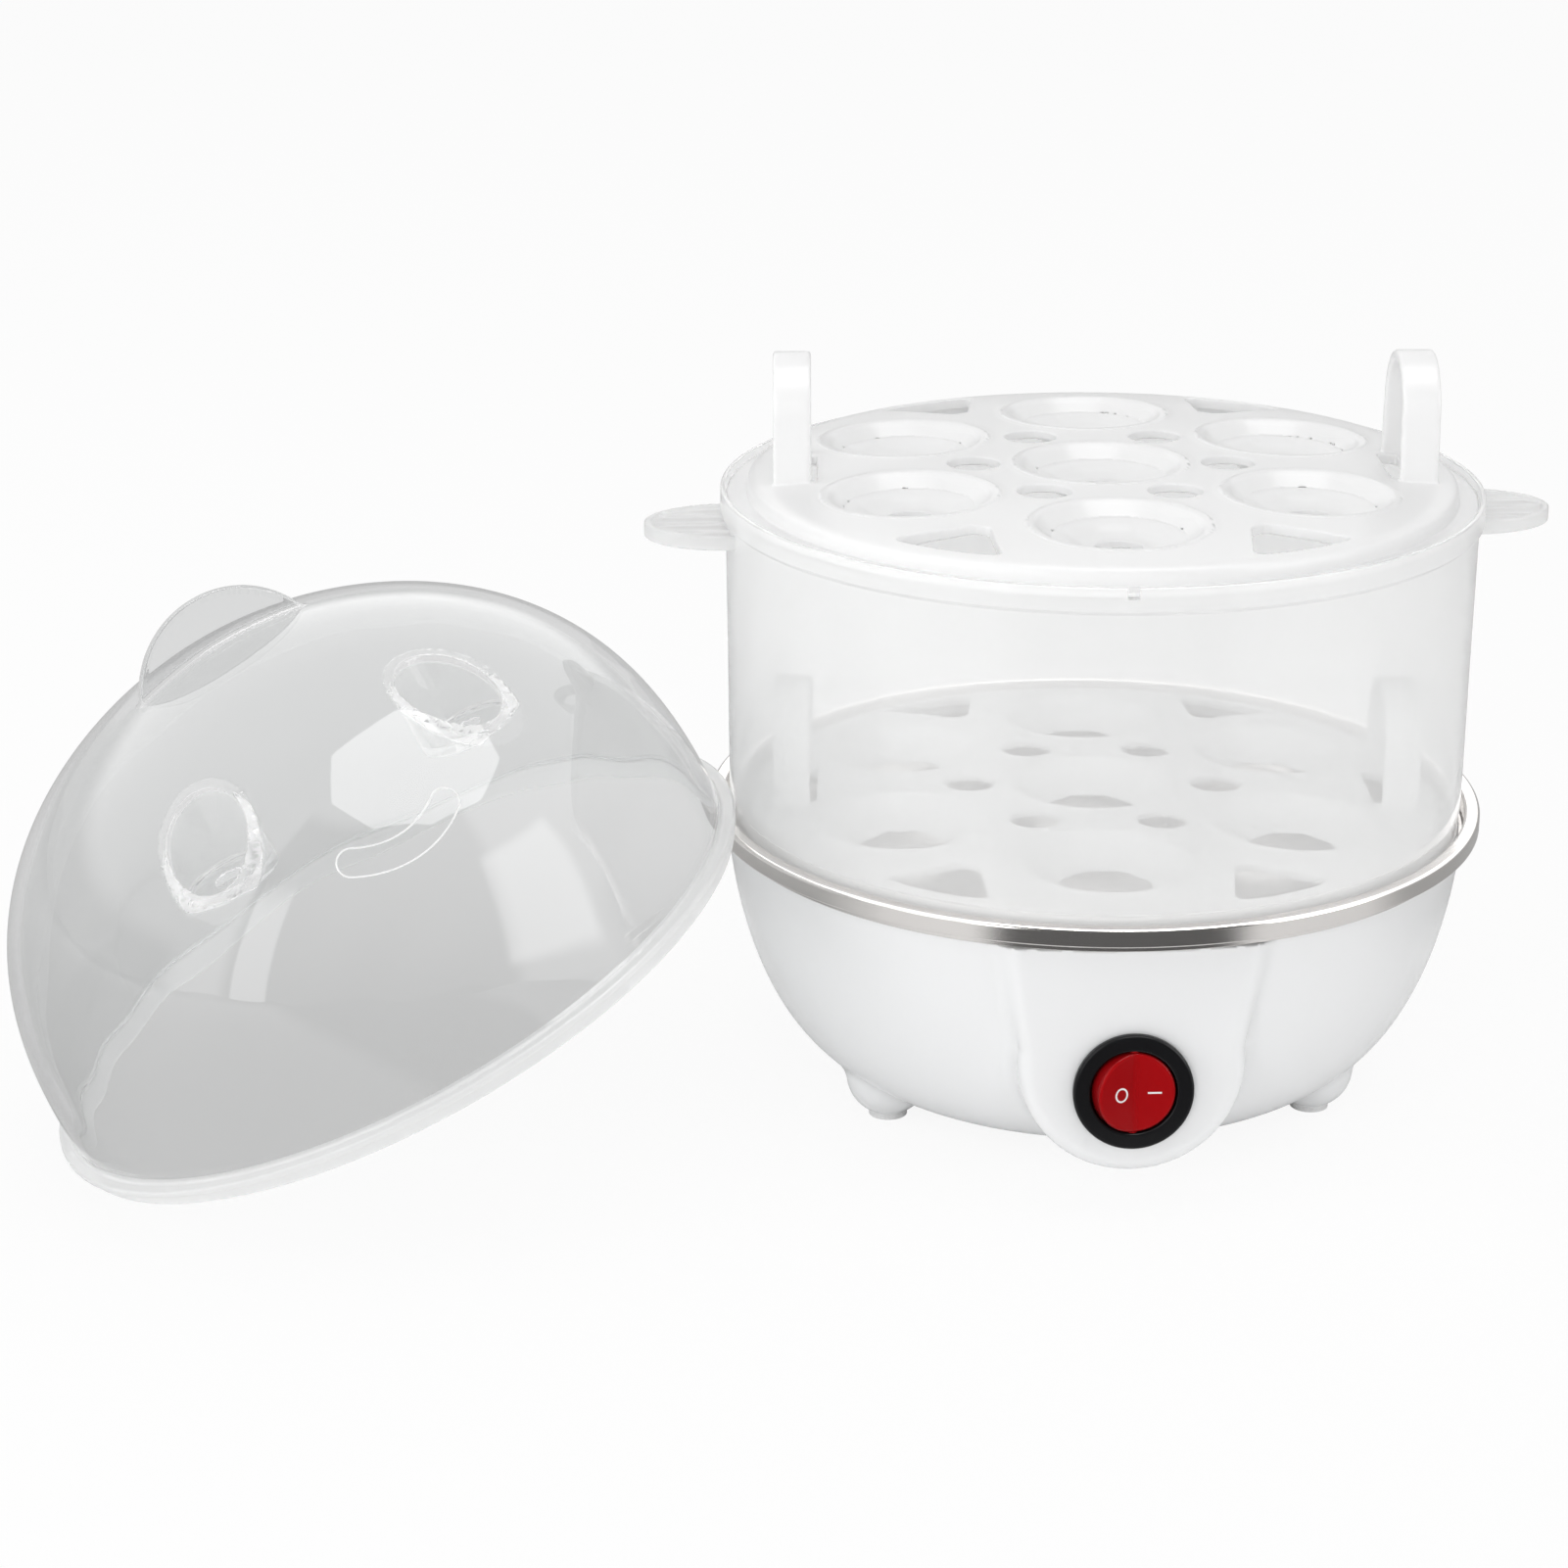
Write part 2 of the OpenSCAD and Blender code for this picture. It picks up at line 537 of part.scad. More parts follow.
// ---- lid ------------------------------------------------------------------
// Lid frame: z up the dome, x down the slope of the standing lid.
lid_skirt_r = 74.2;
flange_z = 2.6;            // underside of the flange above the skirt's edge
dome_z = flange_z + 1.4;
lid_x0 = 75.4 + lid_flange_r * cos(lid_tilt) - flange_z * sin(lid_tilt);
lid_z0 = lid_skirt_r * sin(lid_tilt) + 0.01;
module at_lid() rotate([0, 0, lid_az]) translate([lid_x0, 0, lid_z0]) rotate([0, lid_tilt, 0]) children();
function dome_pts(inset, n) = [for (i = [0:n]) let (s = (dome_h - inset) * sin(90 * i / n))
    [se(73 - inset, s, dome_h - inset, 2.57, 1.85), dome_z + s]];
module dome_outer() rotate_extrude($fn = 128) polygon(concat([[0, 0.5], [73, 0.5]], dome_pts(0, 20)));
module dome_inner() rotate_extrude($fn = 128) polygon(concat([[0, -1], [73 - lid_wall, -1]], dome_pts(lid_wall, 16)));
blade_rr = (blade_w * blade_w / 4 + blade_h * blade_h) / (2 * blade_h);
vent_angles = [75, 138];
module lid() {
    color("lightgray") at_lid() difference() {
        union() {
            difference() {
                union() {
                    dome_outer();
                    // flange and skirt
                    rotate_extrude($fn = 128) polygon([[70, 0], [lid_skirt_r, 0], [lid_skirt_r, flange_z],
                        [lid_flange_r, flange_z], [lid_flange_r, flange_z + 1], [lid_flange_r - 0.6, dome_z], [70, dome_z]]);
                    // finger blade
                    rotate([0, 0, 17.7]) translate([0, 1.1, dome_z + dome_h - 2.7 - blade_rr + blade_h]) rotate([90, 0, 0])
                        cylinder(r = blade_rr, h = 2.2);
                }
                dome_inner();
            }
            // vent wells
            intersection() {
                dome_outer();
                for (a = vent_angles) rotate([0, 0, a]) translate([50.3, 0, 50]) cylinder(r = 9.7, h = 30);
            }
        }
        for (a = vent_angles) rotate([0, 0, a]) translate([50.3, 0, 0]) {
            translate([0, 0, 51.6]) cylinder(r = 8.2, h = 40);
            translate([0, 0, 45]) cylinder(r = 2.6, h = 10);
        }
    }
}

housing_bowl();
foot_pads();
bottom_cover();
cover_screws();
cord_bushing();
steel_dish();
dish_stud();
clamp_bar();
clamp_nut();
heat_spreader();
heating_element();
element_terminals();
thermostat();
thermostat_bracket();
bracket_screws();
thermal_fuse();
fuse_clip();
terminal_block();
switch_body();
switch_terminals();
indicator_lamp();
rocker_button();
live_lead();
neutral_lead();
switched_lead();
fuse_lead();
earth_lead();
lamp_lead();
lower_tray();
steam_tier();
upper_tray();
lid();
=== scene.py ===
import bpy
import math
import numpy as np
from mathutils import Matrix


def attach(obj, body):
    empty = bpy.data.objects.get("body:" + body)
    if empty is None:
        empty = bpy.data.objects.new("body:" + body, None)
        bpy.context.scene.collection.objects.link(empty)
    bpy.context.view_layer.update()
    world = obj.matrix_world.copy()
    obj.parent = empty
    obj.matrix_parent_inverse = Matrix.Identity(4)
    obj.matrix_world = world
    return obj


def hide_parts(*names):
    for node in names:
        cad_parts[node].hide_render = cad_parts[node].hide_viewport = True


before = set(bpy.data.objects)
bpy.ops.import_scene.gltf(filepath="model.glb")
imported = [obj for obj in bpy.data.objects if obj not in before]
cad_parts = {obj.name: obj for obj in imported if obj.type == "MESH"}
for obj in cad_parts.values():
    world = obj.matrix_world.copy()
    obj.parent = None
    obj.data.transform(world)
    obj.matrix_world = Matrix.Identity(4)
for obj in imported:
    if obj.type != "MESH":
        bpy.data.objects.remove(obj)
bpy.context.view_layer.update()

import openvdb
from mathutils import Matrix, Vector

# --------------------------------------------------------------------------
# Distances, in millimetres
# --------------------------------------------------------------------------
EXACT = [False]


def union_r(a, b, r):
    """Union with a concave fillet of radius r."""
    return np.maximum(r, np.minimum(a, b)) - np.sqrt(np.maximum(r - a, 0) ** 2 + np.maximum(r - b, 0) ** 2)


def inter_r(a, b, r):
    """Intersection with a convex rounding of radius r."""
    return np.minimum(-r, np.maximum(a, b)) + np.sqrt(np.maximum(r + a, 0) ** 2 + np.maximum(r + b, 0) ** 2)


def cut_r(a, b, r):
    return inter_r(a, -b, r)


def box_d(x, y, z, c, h, r=0.0):
    qx, qy, qz = np.abs(x - c[0]) - h[0] + r, np.abs(y - c[1]) - h[1] + r, np.abs(z - c[2]) - h[2] + r
    out = np.sqrt(np.maximum(qx, 0) ** 2 + np.maximum(qy, 0) ** 2 + np.maximum(qz, 0) ** 2)
    return out + np.minimum(np.maximum(qx, np.maximum(qy, qz)), 0) - r


def tube_d(rad, along, r, half, e):
    """A round bar: distance from its line, distance along it from its middle."""
    return inter_r(rad - r, np.abs(along) - half, e)


def turn(x, y, deg):
    """Coordinates seen from a frame turned by deg."""
    c, s = math.cos(math.radians(deg)), math.sin(math.radians(deg))
    return c * x + s * y, -s * x + c * y


def rounded(pts):
    """Corners (x, y, radius) of a closed outline, counter-clockwise, as (x, y, nx, ny) with arcs at the corners."""
    out, n = [], len(pts)
    for i in range(n):
        p0, p1, p2 = (np.array(pts[(i + k) % n][:2], float) for k in (-1, 0, 1))
        r = pts[i][2] if len(pts[i]) > 2 else 0.0
        a, b = p1 - p0, p2 - p1
        la, lb = np.linalg.norm(a), np.linalg.norm(b)
        a, b = a / la, b / lb
        na, nb = np.array([a[1], -a[0]]), np.array([b[1], -b[0]])
        t = math.atan2(a[0] * b[1] - a[1] * b[0], a[0] * b[0] + a[1] * b[1])
        if r <= 0 or abs(t) < math.radians(3):
            if abs(t) < math.radians(24):
                m = na + nb
                m /= np.linalg.norm(m)
                out.append((*p1, *m))
            else:
                out += [(*p1, *na), (*p1, *nb)]
            continue
        cutl = min(r * math.tan(abs(t) / 2), 0.46 * la, 0.46 * lb)
        r = cutl / math.tan(abs(t) / 2)
        c = p1 - a * cutl - na * r * math.copysign(1, t)
        steps = max(2, int(abs(math.degrees(t)) / (9)))
        a0 = math.atan2(na[1], na[0])
        for k in range(steps + 1):
            w = a0 + t * k / steps
            nn = np.array([math.cos(w), math.sin(w)])
            out.append((*(c + nn * r * math.copysign(1, t)), *nn))
    return out


def spline(pts, n):
    """A smooth open curve through pts."""
    p = np.array(pts, float)
    q = np.vstack([2 * p[0] - p[1], p, 2 * p[-1] - p[-2]])
    out = []
    for i in range(1, len(q) - 2):
        for k in range(n):
            t = k / n
            a, b, c, d = q[i - 1], q[i], q[i + 1], q[i + 2]
            out.append(0.5 * (2 * b + (c - a) * t + (2 * a - 5 * b + 4 * c - d) * t * t + (3 * b - a - 3 * c + d) * t ** 3))
    out.append(p[-1])
    return [tuple(v) for v in out]


class Outline:
    """Signed distance to a closed outline, looked up in a table, or worked out in full when EXACT is on."""

    def __init__(self, pts, step=0.2, pad=3.0):
        p = np.array([v[:2] for v in pts], float)
        keep = np.linalg.norm(p - np.roll(p, -1, 0), axis=1) > 1e-6
        self.p = p[keep]
        self.lo, self.hi = self.p.min(0) - pad, self.p.max(0) + pad
        self.step = step
        n = np.ceil((self.hi - self.lo) / step).astype(int) + 2
        gx, gy = np.meshgrid(self.lo[0] + np.arange(n[0]) * step, self.lo[1] + np.arange(n[1]) * step, indexing="ij")
        self.t = self.full(gx.ravel(), gy.ravel()).reshape(n).astype(np.float32)

    def full(self, x, y):
        x, y = np.asarray(x, float), np.asarray(y, float)
        d2, s = np.full(x.shape, 1e12), np.zeros(x.shape, bool)
        q = np.roll(self.p, -1, 0)
        for (ax, ay), (bx, by) in zip(self.p, q):
            ex, ey = bx - ax, by - ay
            wx, wy = x - ax, y - ay
            t = np.clip((wx * ex + wy * ey) / (ex * ex + ey * ey), 0, 1)
            np.minimum(d2, (wx - ex * t) ** 2 + (wy - ey * t) ** 2, out=d2)
            c1, c2, c3 = y >= ay, y < by, ex * wy > ey * wx
            s ^= (c1 & c2 & c3) | ~(c1 | c2 | c3)
        return np.where(s, -1.0, 1.0) * np.sqrt(d2)

    def __call__(self, x, y):
        if EXACT[0]:
            return self.full(x, y)
        cx, cy = np.clip(x, self.lo[0], self.hi[0]), np.clip(y, self.lo[1], self.hi[1])
        away = np.sqrt((x - cx) ** 2 + (y - cy) ** 2)
        fx, fy = (cx - self.lo[0]) / self.step, (cy - self.lo[1]) / self.step
        ix, iy = fx.astype(np.int32), fy.astype(np.int32)
        fx, fy = fx - ix, fy - iy
        t = self.t
        return (t[ix, iy] * (1 - fx) + t[ix + 1, iy] * fx) * (1 - fy) + (t[ix, iy + 1] * (1 - fx) + t[ix + 1, iy + 1] * fx) * fy + away


# --------------------------------------------------------------------------
# Meshes
# --------------------------------------------------------------------------
def put_mesh(name, co, faces, normals, matrix=None, smooth=True):
    """A mesh object from millimetre coordinates, placed in the row frame in metres."""
    co = np.asarray(co, float)
    if matrix is not None:
        m = np.array(matrix, float)
        co = co @ m[:3, :3].T + m[:3, 3]
        if normals is not None:
            normals = np.asarray(normals) @ m[:3, :3].T
    me = bpy.data.meshes.new(name)
    me.from_pydata((co * 0.001).tolist(), [], faces if isinstance(faces, list) else faces.tolist())
    me.validate(verbose=False)
    me.polygons.foreach_set("use_smooth", np.full(len(me.polygons), smooth))
    me.update()
    if normals is not None and len(normals) == len(me.vertices):
        me.normals_split_custom_set_from_vertices(np.asarray(normals, float).tolist())
    ob = bpy.data.objects.new(name, me)
    bpy.context.scene.collection.objects.link(ob)
    return ob


def polar_mesh(name, f, r_hi, z_lo, z_hi, voxel, turns, matrix=None, tries=4, polish=None):
    """Like field_mesh, for a shape that is mostly turned: sampled round the axis, so that rims come out clean."""
    B, W = 6, 3
    dth = 2 * math.pi / turns
    n0, n1, n2 = turns // B, int(math.ceil((r_hi + 5 * voxel) / (voxel * B))), int(math.ceil((z_hi - z_lo + 5 * voxel) / (voxel * B)))
    zb = z_lo - 2.5 * voxel
    ci = np.stack(np.meshgrid(np.arange(n0), np.arange(n1), np.arange(n2), indexing="ij"), -1).reshape(-1, 3)

    def place(i, j, k):
        r, th = (j - 2.5) * voxel, i * dth
        return r * np.cos(th), r * np.sin(th), zb + k * voxel

    mid = (ci + 0.5) * B - 0.5
    fc = f(*place(mid[:, 0], mid[:, 1], mid[:, 2]))
    bg = 3.0 * voxel
    arr = np.where(fc < 0, -bg, bg).astype(np.float32).reshape(n0, n1, n2)
    arr = np.repeat(np.repeat(np.repeat(arr, B, 0), B, 1), B, 2)
    reach = np.sqrt(2 * (B * voxel / 2) ** 2 + (B * dth * (mid[:, 1] + B / 2) * voxel / 2) ** 2)
    ks = ci[np.abs(fc) < reach + 1.5 * voxel]
    off = np.stack(np.meshgrid(*[np.arange(B)] * 3, indexing="ij"), -1).reshape(-1, 3)
    view6 = arr.reshape(n0, B, n1, B, n2, B)
    for s in range(0, len(ks), 3000):
        k = ks[s : s + 3000]
        g = (k[:, None, :] * B + off[None]).reshape(-1, 3)
        v = f(*place(g[:, 0], g[:, 1], g[:, 2])).reshape(len(k), B, B, B)
        view6[k[:, 0], :, k[:, 1], :, k[:, 2], :] = np.clip(v, -bg, bg)
    n = n0 * B
    arr = np.concatenate([arr[-W:], arr, arr[:W]], 0)
    grid = openvdb.FloatGrid(float(bg))
    grid.copyFromArray(arr)
    pts, quads = grid.convertToQuads(0.0)
    pts, quads = pts.astype(float), quads.astype(int)
    pts[:, 0] -= W
    c = pts[quads].mean(1)[:, 0]
    cr = pts[quads].mean(1)[:, 1]
    quads = quads[(c >= 0) & (c < n) & (cr > 2.5)]
    pts[:, 1] = np.maximum(pts[:, 1], 2.5)
    key = np.stack([np.round(np.mod(pts[:, 0] + 0.25, n) * 50), np.round(pts[:, 1] * 50), np.round(pts[:, 2] * 50)], -1).astype(np.int64)
    _, first, inv = np.unique(key, axis=0, return_index=True, return_inverse=True)
    quads = inv.reshape(-1)[quads]
    pts = pts[first]
    used, inv = np.unique(quads, return_inverse=True)
    quads, pts = inv.reshape(quads.shape), pts[used]
    ok = np.array([len(set(q)) >= 3 for q in quads.tolist()])
    quads = quads[ok]
    p = np.stack(place(pts[:, 0], pts[:, 1], pts[:, 2]), -1)
    return settle(name, f, p, quads, voxel, matrix, tries, polish)


def field_mesh(name, f, lo, hi, voxel, matrix=None, tries=3):
    """The surface f = 0 as quads, with every point moved onto it and its true normal."""
    B = 8
    lo = np.array(lo, float) - 2.5 * voxel
    hi = np.array(hi, float) + 2.5 * voxel
    nb = np.ceil((hi - lo) / (voxel * B)).astype(int)
    side = voxel * B
    ci = np.stack(np.meshgrid(*[np.arange(n) for n in nb], indexing="ij"), -1).reshape(-1, 3)
    mid = lo + (ci + 0.5) * side - 0.5 * voxel
    EXACT[0] = False
    fc = f(mid[:, 0], mid[:, 1], mid[:, 2])
    bg = 3.0 * voxel
    arr = np.where(fc < 0, -bg, bg).astype(np.float32).reshape(nb)
    arr = np.repeat(np.repeat(np.repeat(arr, B, 0), B, 1), B, 2)
    near = np.abs(fc) < side * 0.9 + 3 * voxel
    ks = ci[near]
    off = np.stack(np.meshgrid(*[np.arange(B)] * 3, indexing="ij"), -1).reshape(-1, 3)
    view6 = arr.reshape(nb[0], B, nb[1], B, nb[2], B)
    for s in range(0, len(ks), 1500):
        k = ks[s : s + 1500]
        g = (k[:, None, :] * B + off[None]).reshape(-1, 3) * voxel + lo
        v = f(g[:, 0], g[:, 1], g[:, 2]).reshape(len(k), B, B, B)
        view6[k[:, 0], :, k[:, 1], :, k[:, 2], :] = np.clip(v, -bg, bg)
    grid = openvdb.FloatGrid(float(bg))
    grid.copyFromArray(arr)
    pts, quads = grid.convertToQuads(0.0)
    return settle(name, f, lo + pts.astype(float) * voxel, quads.astype(int), voxel, matrix, tries)


def settle(name, f, p, quads, voxel, matrix, tries, polish=None):
    """Moves points onto f = 0 and makes the mesh, with the field's own normals."""
    h = 0.03 if voxel > 0.3 else 0.015
    T = np.array([[1, -1, -1], [-1, -1, 1], [-1, 1, -1], [1, 1, 1]], float)

    def grad(q):
        g, fs = np.zeros_like(q), 0
        for t in T:
            v = f(q[:, 0] + t[0] * h, q[:, 1] + t[1] * h, q[:, 2] + t[2] * h)
            g += t[None] * v[:, None]
            fs = fs + v
        n = np.linalg.norm(g, axis=1, keepdims=True)
        return g / np.maximum(n, 1e-9), fs / 4

    for i in range(tries):
        EXACT[0] = i >= tries - 1
        n, v = grad(p)
        p = p - n * np.clip(v, -0.6 * voxel, 0.6 * voxel)[:, None]
    n, v = grad(p)
    if voxel > 0.4:
        # where the form is smooth, take the direction over a wider step
        fine, h = n, 0.55
        wide, _ = grad(p)
        same = np.clip(((fine * wide).sum(1) - math.cos(math.radians(9))) / (math.cos(math.radians(5)) - math.cos(math.radians(9))), 0, 1)[:, None]
        n = fine * (1 - same) + wide * same
        n /= np.linalg.norm(n, axis=1, keepdims=True)
    if polish is not None:
        n = polish(p, n)
    EXACT[0] = False
    gone = np.abs(v) > 0.5 * voxel
    if gone.any():
        print("points off the surface:", name, int(gone.sum()))
    # outward winding
    a, b, c = (p[quads[:, i]] for i in (0, 1, 2))
    fn = np.cross(b - a, c - a)
    if (fn * n[quads[:, 0]]).sum() < 0:
        quads = quads[:, ::-1]
    return put_mesh(name, p, quads, n, matrix)


def lathe(name, outline, seg, angles=None, adjust=None, matrix=None):
    """A ring or disc turned about z from a closed outline of (r, z, nr, nz)."""
    o = [v for v in outline]
    if angles is None:
        angles = [2 * math.pi * i / seg for i in range(seg)]
    ca, sa = np.cos(angles), np.sin(angles)
    r, z = np.array([v[0] for v in o]), np.array([v[1] for v in o])
    nr, nz = np.array([v[2] for v in o]), np.array([v[3] for v in o])
    m, k = len(o), len(angles)
    co = np.stack([np.outer(ca, r), np.outer(sa, r), np.tile(z, (k, 1))], -1)
    no = np.stack([np.outer(ca, nr), np.outer(sa, nr), np.tile(nz, (k, 1))], -1)
    if adjust is not None:
        co = adjust(co, np.array(angles))
    faces = []
    for i in range(k):
        j = (i + 1) % k
        for a in range(m):
            b = (a + 1) % m
            if abs(r[a] - r[b]) + abs(z[a] - z[b]) < 1e-6:
                continue
            if r[a] < 1e-4 and r[b] < 1e-4:
                continue
            if r[a] < 1e-4:
                faces.append([a, j * m + b, i * m + b][::-1])
            elif r[b] < 1e-4:
                faces.append([i * m + a, j * m + a, b])
            else:
                faces.append([i * m + a, j * m + a, j * m + b, i * m + b])
    co, no = co.reshape(-1, 3), no.reshape(-1, 3)
    used = sorted({v for f in faces for v in f})
    remap = {v: i for i, v in enumerate(used)}
    faces = [[remap[v] for v in f] for f in faces]
    return put_mesh(name, co[used], faces, no[used], matrix)


def weld(ob, dist=1e-6):
    """Joins the doubled points that a hard edge leaves in a lathe."""
    import bmesh

    me = ob.data
    bm = bmesh.new()
    bm.from_mesh(me)
    bmesh.ops.remove_doubles(bm, verts=bm.verts, dist=dist)
    bm.to_mesh(me)
    bm.free()


# --------------------------------------------------------------------------
# Materials
# --------------------------------------------------------------------------
def new_mat(name):
    m = bpy.data.materials.new(name)
    m.use_nodes = True
    nt = m.node_tree
    nt.nodes.clear()
    return m, nt


def link(nt, a, b):
    nt.links.new(a, b)


def add(nt, kind, **kw):
    n = nt.nodes.new(kind)
    for k, v in kw.items():
        setattr(n, k, v)
    return n


def math_node(nt, op, a, b=None, c=None):
    n = add(nt, "ShaderNodeMath", operation=op)
    for i, v in enumerate((a, b, c)):
        if v is None:
            continue
        if isinstance(v, (int, float)):
            n.inputs[i].default_value = v
        else:
            link(nt, v, n.inputs[i])
    return n.outputs[0]


def noise(nt, scale, detail=3.0, coords=None, stretch=None):
    if coords is None:
        coords = add(nt, "ShaderNodeTexCoord").outputs["Object"]
    if stretch is not None:
        mp = add(nt, "ShaderNodeMapping")
        mp.inputs["Scale"].default_value = stretch
        link(nt, coords, mp.inputs["Vector"])
        coords = mp.outputs[0]
    n = add(nt, "ShaderNodeTexNoise")
    n.inputs["Scale"].default_value = scale
    n.inputs["Detail"].default_value = detail
    link(nt, coords, n.inputs["Vector"])
    return n.outputs["Fac"]


def remap(nt, v, a, b, lo=0.0, hi=1.0):
    n = add(nt, "ShaderNodeMapRange")
    n.inputs["From Min"].default_value = lo
    n.inputs["From Max"].default_value = hi
    n.inputs["To Min"].default_value = a
    n.inputs["To Max"].default_value = b
    link(nt, v, n.inputs["Value"])
    return n.outputs[0]


def bump(nt, height, distance, strength=1.0):
    n = add(nt, "ShaderNodeBump")
    n.inputs["Distance"].default_value = distance
    n.inputs["Strength"].default_value = strength
    link(nt, height, n.inputs["Height"])
    return n.outputs[0]


def principled(nt, base, rough, metallic=0.0, **kw):
    p = add(nt, "ShaderNodeBsdfPrincipled")
    p.inputs["Base Color"].default_value = (*base, 1)
    p.inputs["Roughness"].default_value = rough
    p.inputs["Metallic"].default_value = metallic
    for k, v in kw.items():
        p.inputs[k.replace("_", " ")].default_value = v
    return p


def finish_mat(nt, shader):
    out = add(nt, "ShaderNodeOutputMaterial")
    link(nt, shader, out.inputs["Surface"])


def tint(nt, p, base, amount, scale=40.0):
    """Varies the base colour very slightly."""
    mix = add(nt, "ShaderNodeMix", data_type="RGBA")
    mix.inputs[6].default_value = (*base, 1)
    mix.inputs[7].default_value = (*[c * (1 - amount) for c in base], 1)
    link(nt, noise(nt, scale, 2.0), mix.inputs[0])
    link(nt, mix.outputs[2], p.inputs["Base Color"])


def plastic(name, base, rough, wave=0.0, wave_scale=55.0, grain=0.0, vary=0.03, sss=0.0, coat=0.0, through=0.0, gloss=0.5):
    m, nt = new_mat(name)
    p = principled(nt, base, rough, IOR=1.5)
    p.inputs["Specular IOR Level"].default_value = gloss
    tint(nt, p, base, vary)
    link(nt, remap(nt, noise(nt, 130.0, 4.0), rough * 0.88, rough * 1.14), p.inputs["Roughness"])
    if sss:
        p.inputs["Subsurface Weight"].default_value = sss
        p.inputs["Subsurface Radius"].default_value = (0.004, 0.0038, 0.0035)
        p.inputs["Subsurface Scale"].default_value = 1.0
    if coat:
        p.inputs["Coat Weight"].default_value = coat
        p.inputs["Coat Roughness"].default_value = 0.05
    if wave or grain:
        h = None
        if wave:
            h = math_node(nt, "MULTIPLY", noise(nt, wave_scale, 1.0), wave)
        if grain:
            g = math_node(nt, "MULTIPLY", noise(nt, 2600.0, 2.0), grain)
            h = g if h is None else math_node(nt, "ADD", h, g)
        link(nt, bump(nt, h, 0.001), p.inputs["Normal"])
    surf = p.outputs[0]
    if through:
        t = add(nt, "ShaderNodeBsdfTranslucent")
        t.inputs["Color"].default_value = (*base, 1)
        mx = add(nt, "ShaderNodeMixShader")
        mx.inputs[0].default_value = through
        link(nt, surf, mx.inputs[1])
        link(nt, t.outputs[0], mx.inputs[2])
        surf = mx.outputs[0]
    finish_mat(nt, surf)
    return m


def clear_plastic(name, base, rough, shade, ior=1.49, wave=0.0, haze=0.0, haze_col=(0.8, 0.8, 0.8), painted_deep_glow=1.0, painted_milk_glow=0.0):
    """Clear moulded plastic, with a painted glow in its deep reflections and in its milky part. Lamp and bounce rays
    pass straight through with a tint.
    """
    m, nt = new_mat(name)
    p = principled(nt, base, rough, IOR=ior)
    p.inputs["Transmission Weight"].default_value = 1.0
    if wave:
        link(nt, bump(nt, math_node(nt, "MULTIPLY", noise(nt, 38.0, 1.5), wave), 0.001), p.inputs["Normal"])
    surf = p.outputs[0]
    if haze:
        d = add(nt, "ShaderNodeBsdfDiffuse")
        d.inputs["Color"].default_value = (*haze_col, 1)
        tl = add(nt, "ShaderNodeBsdfTranslucent")
        tl.inputs["Color"].default_value = (*haze_col, 1)
        milk = add(nt, "ShaderNodeMixShader")
        milk.inputs[0].default_value = 0.35
        link(nt, d.outputs[0], milk.inputs[1])
        link(nt, tl.outputs[0], milk.inputs[2])
        mx = add(nt, "ShaderNodeMixShader")
        mx.inputs[0].default_value = haze
        link(nt, surf, mx.inputs[1])
        if painted_milk_glow:
            # painted glow: an emission in the haze colour that brightens the milky wall, in place of light scattered on
            # inside it
            le = add(nt, "ShaderNodeEmission")
            le.inputs["Color"].default_value = (*haze_col, 1)
            le.inputs["Strength"].default_value = painted_milk_glow
            both = add(nt, "ShaderNodeAddShader")
            link(nt, milk.outputs[0], both.inputs[0])
            link(nt, le.outputs[0], both.inputs[1])
            milk = both
        link(nt, milk.outputs[0], mx.inputs[2])
        surf = mx.outputs[0]
    # painted glow: after more than two glossy bounces the clear wall shows a flat emission in the haze colour, which
    # brightens its edges
    lp = add(nt, "ShaderNodeLightPath")
    painted_deep_shine = add(nt, "ShaderNodeEmission")
    painted_deep_shine.inputs["Color"].default_value = (*haze_col, 1)
    painted_deep_shine.inputs["Strength"].default_value = painted_deep_glow
    deep = add(nt, "ShaderNodeMixShader")
    link(nt, math_node(nt, "GREATER_THAN", lp.outputs["Glossy Depth"], 2.5), deep.inputs[0])
    link(nt, surf, deep.inputs[1])
    link(nt, painted_deep_shine.outputs[0], deep.inputs[2])
    surf = deep.outputs[0]
    t = add(nt, "ShaderNodeBsdfTransparent")
    t.inputs["Color"].default_value = (*shade, 1)
    mix = add(nt, "ShaderNodeMixShader")
    link(nt, math_node(nt, "MAXIMUM", lp.outputs["Is Shadow Ray"], lp.outputs["Is Diffuse Ray"]), mix.inputs[0])
    link(nt, surf, mix.inputs[1])
    link(nt, t.outputs[0], mix.inputs[2])
    finish_mat(nt, mix.outputs[0])
    return m


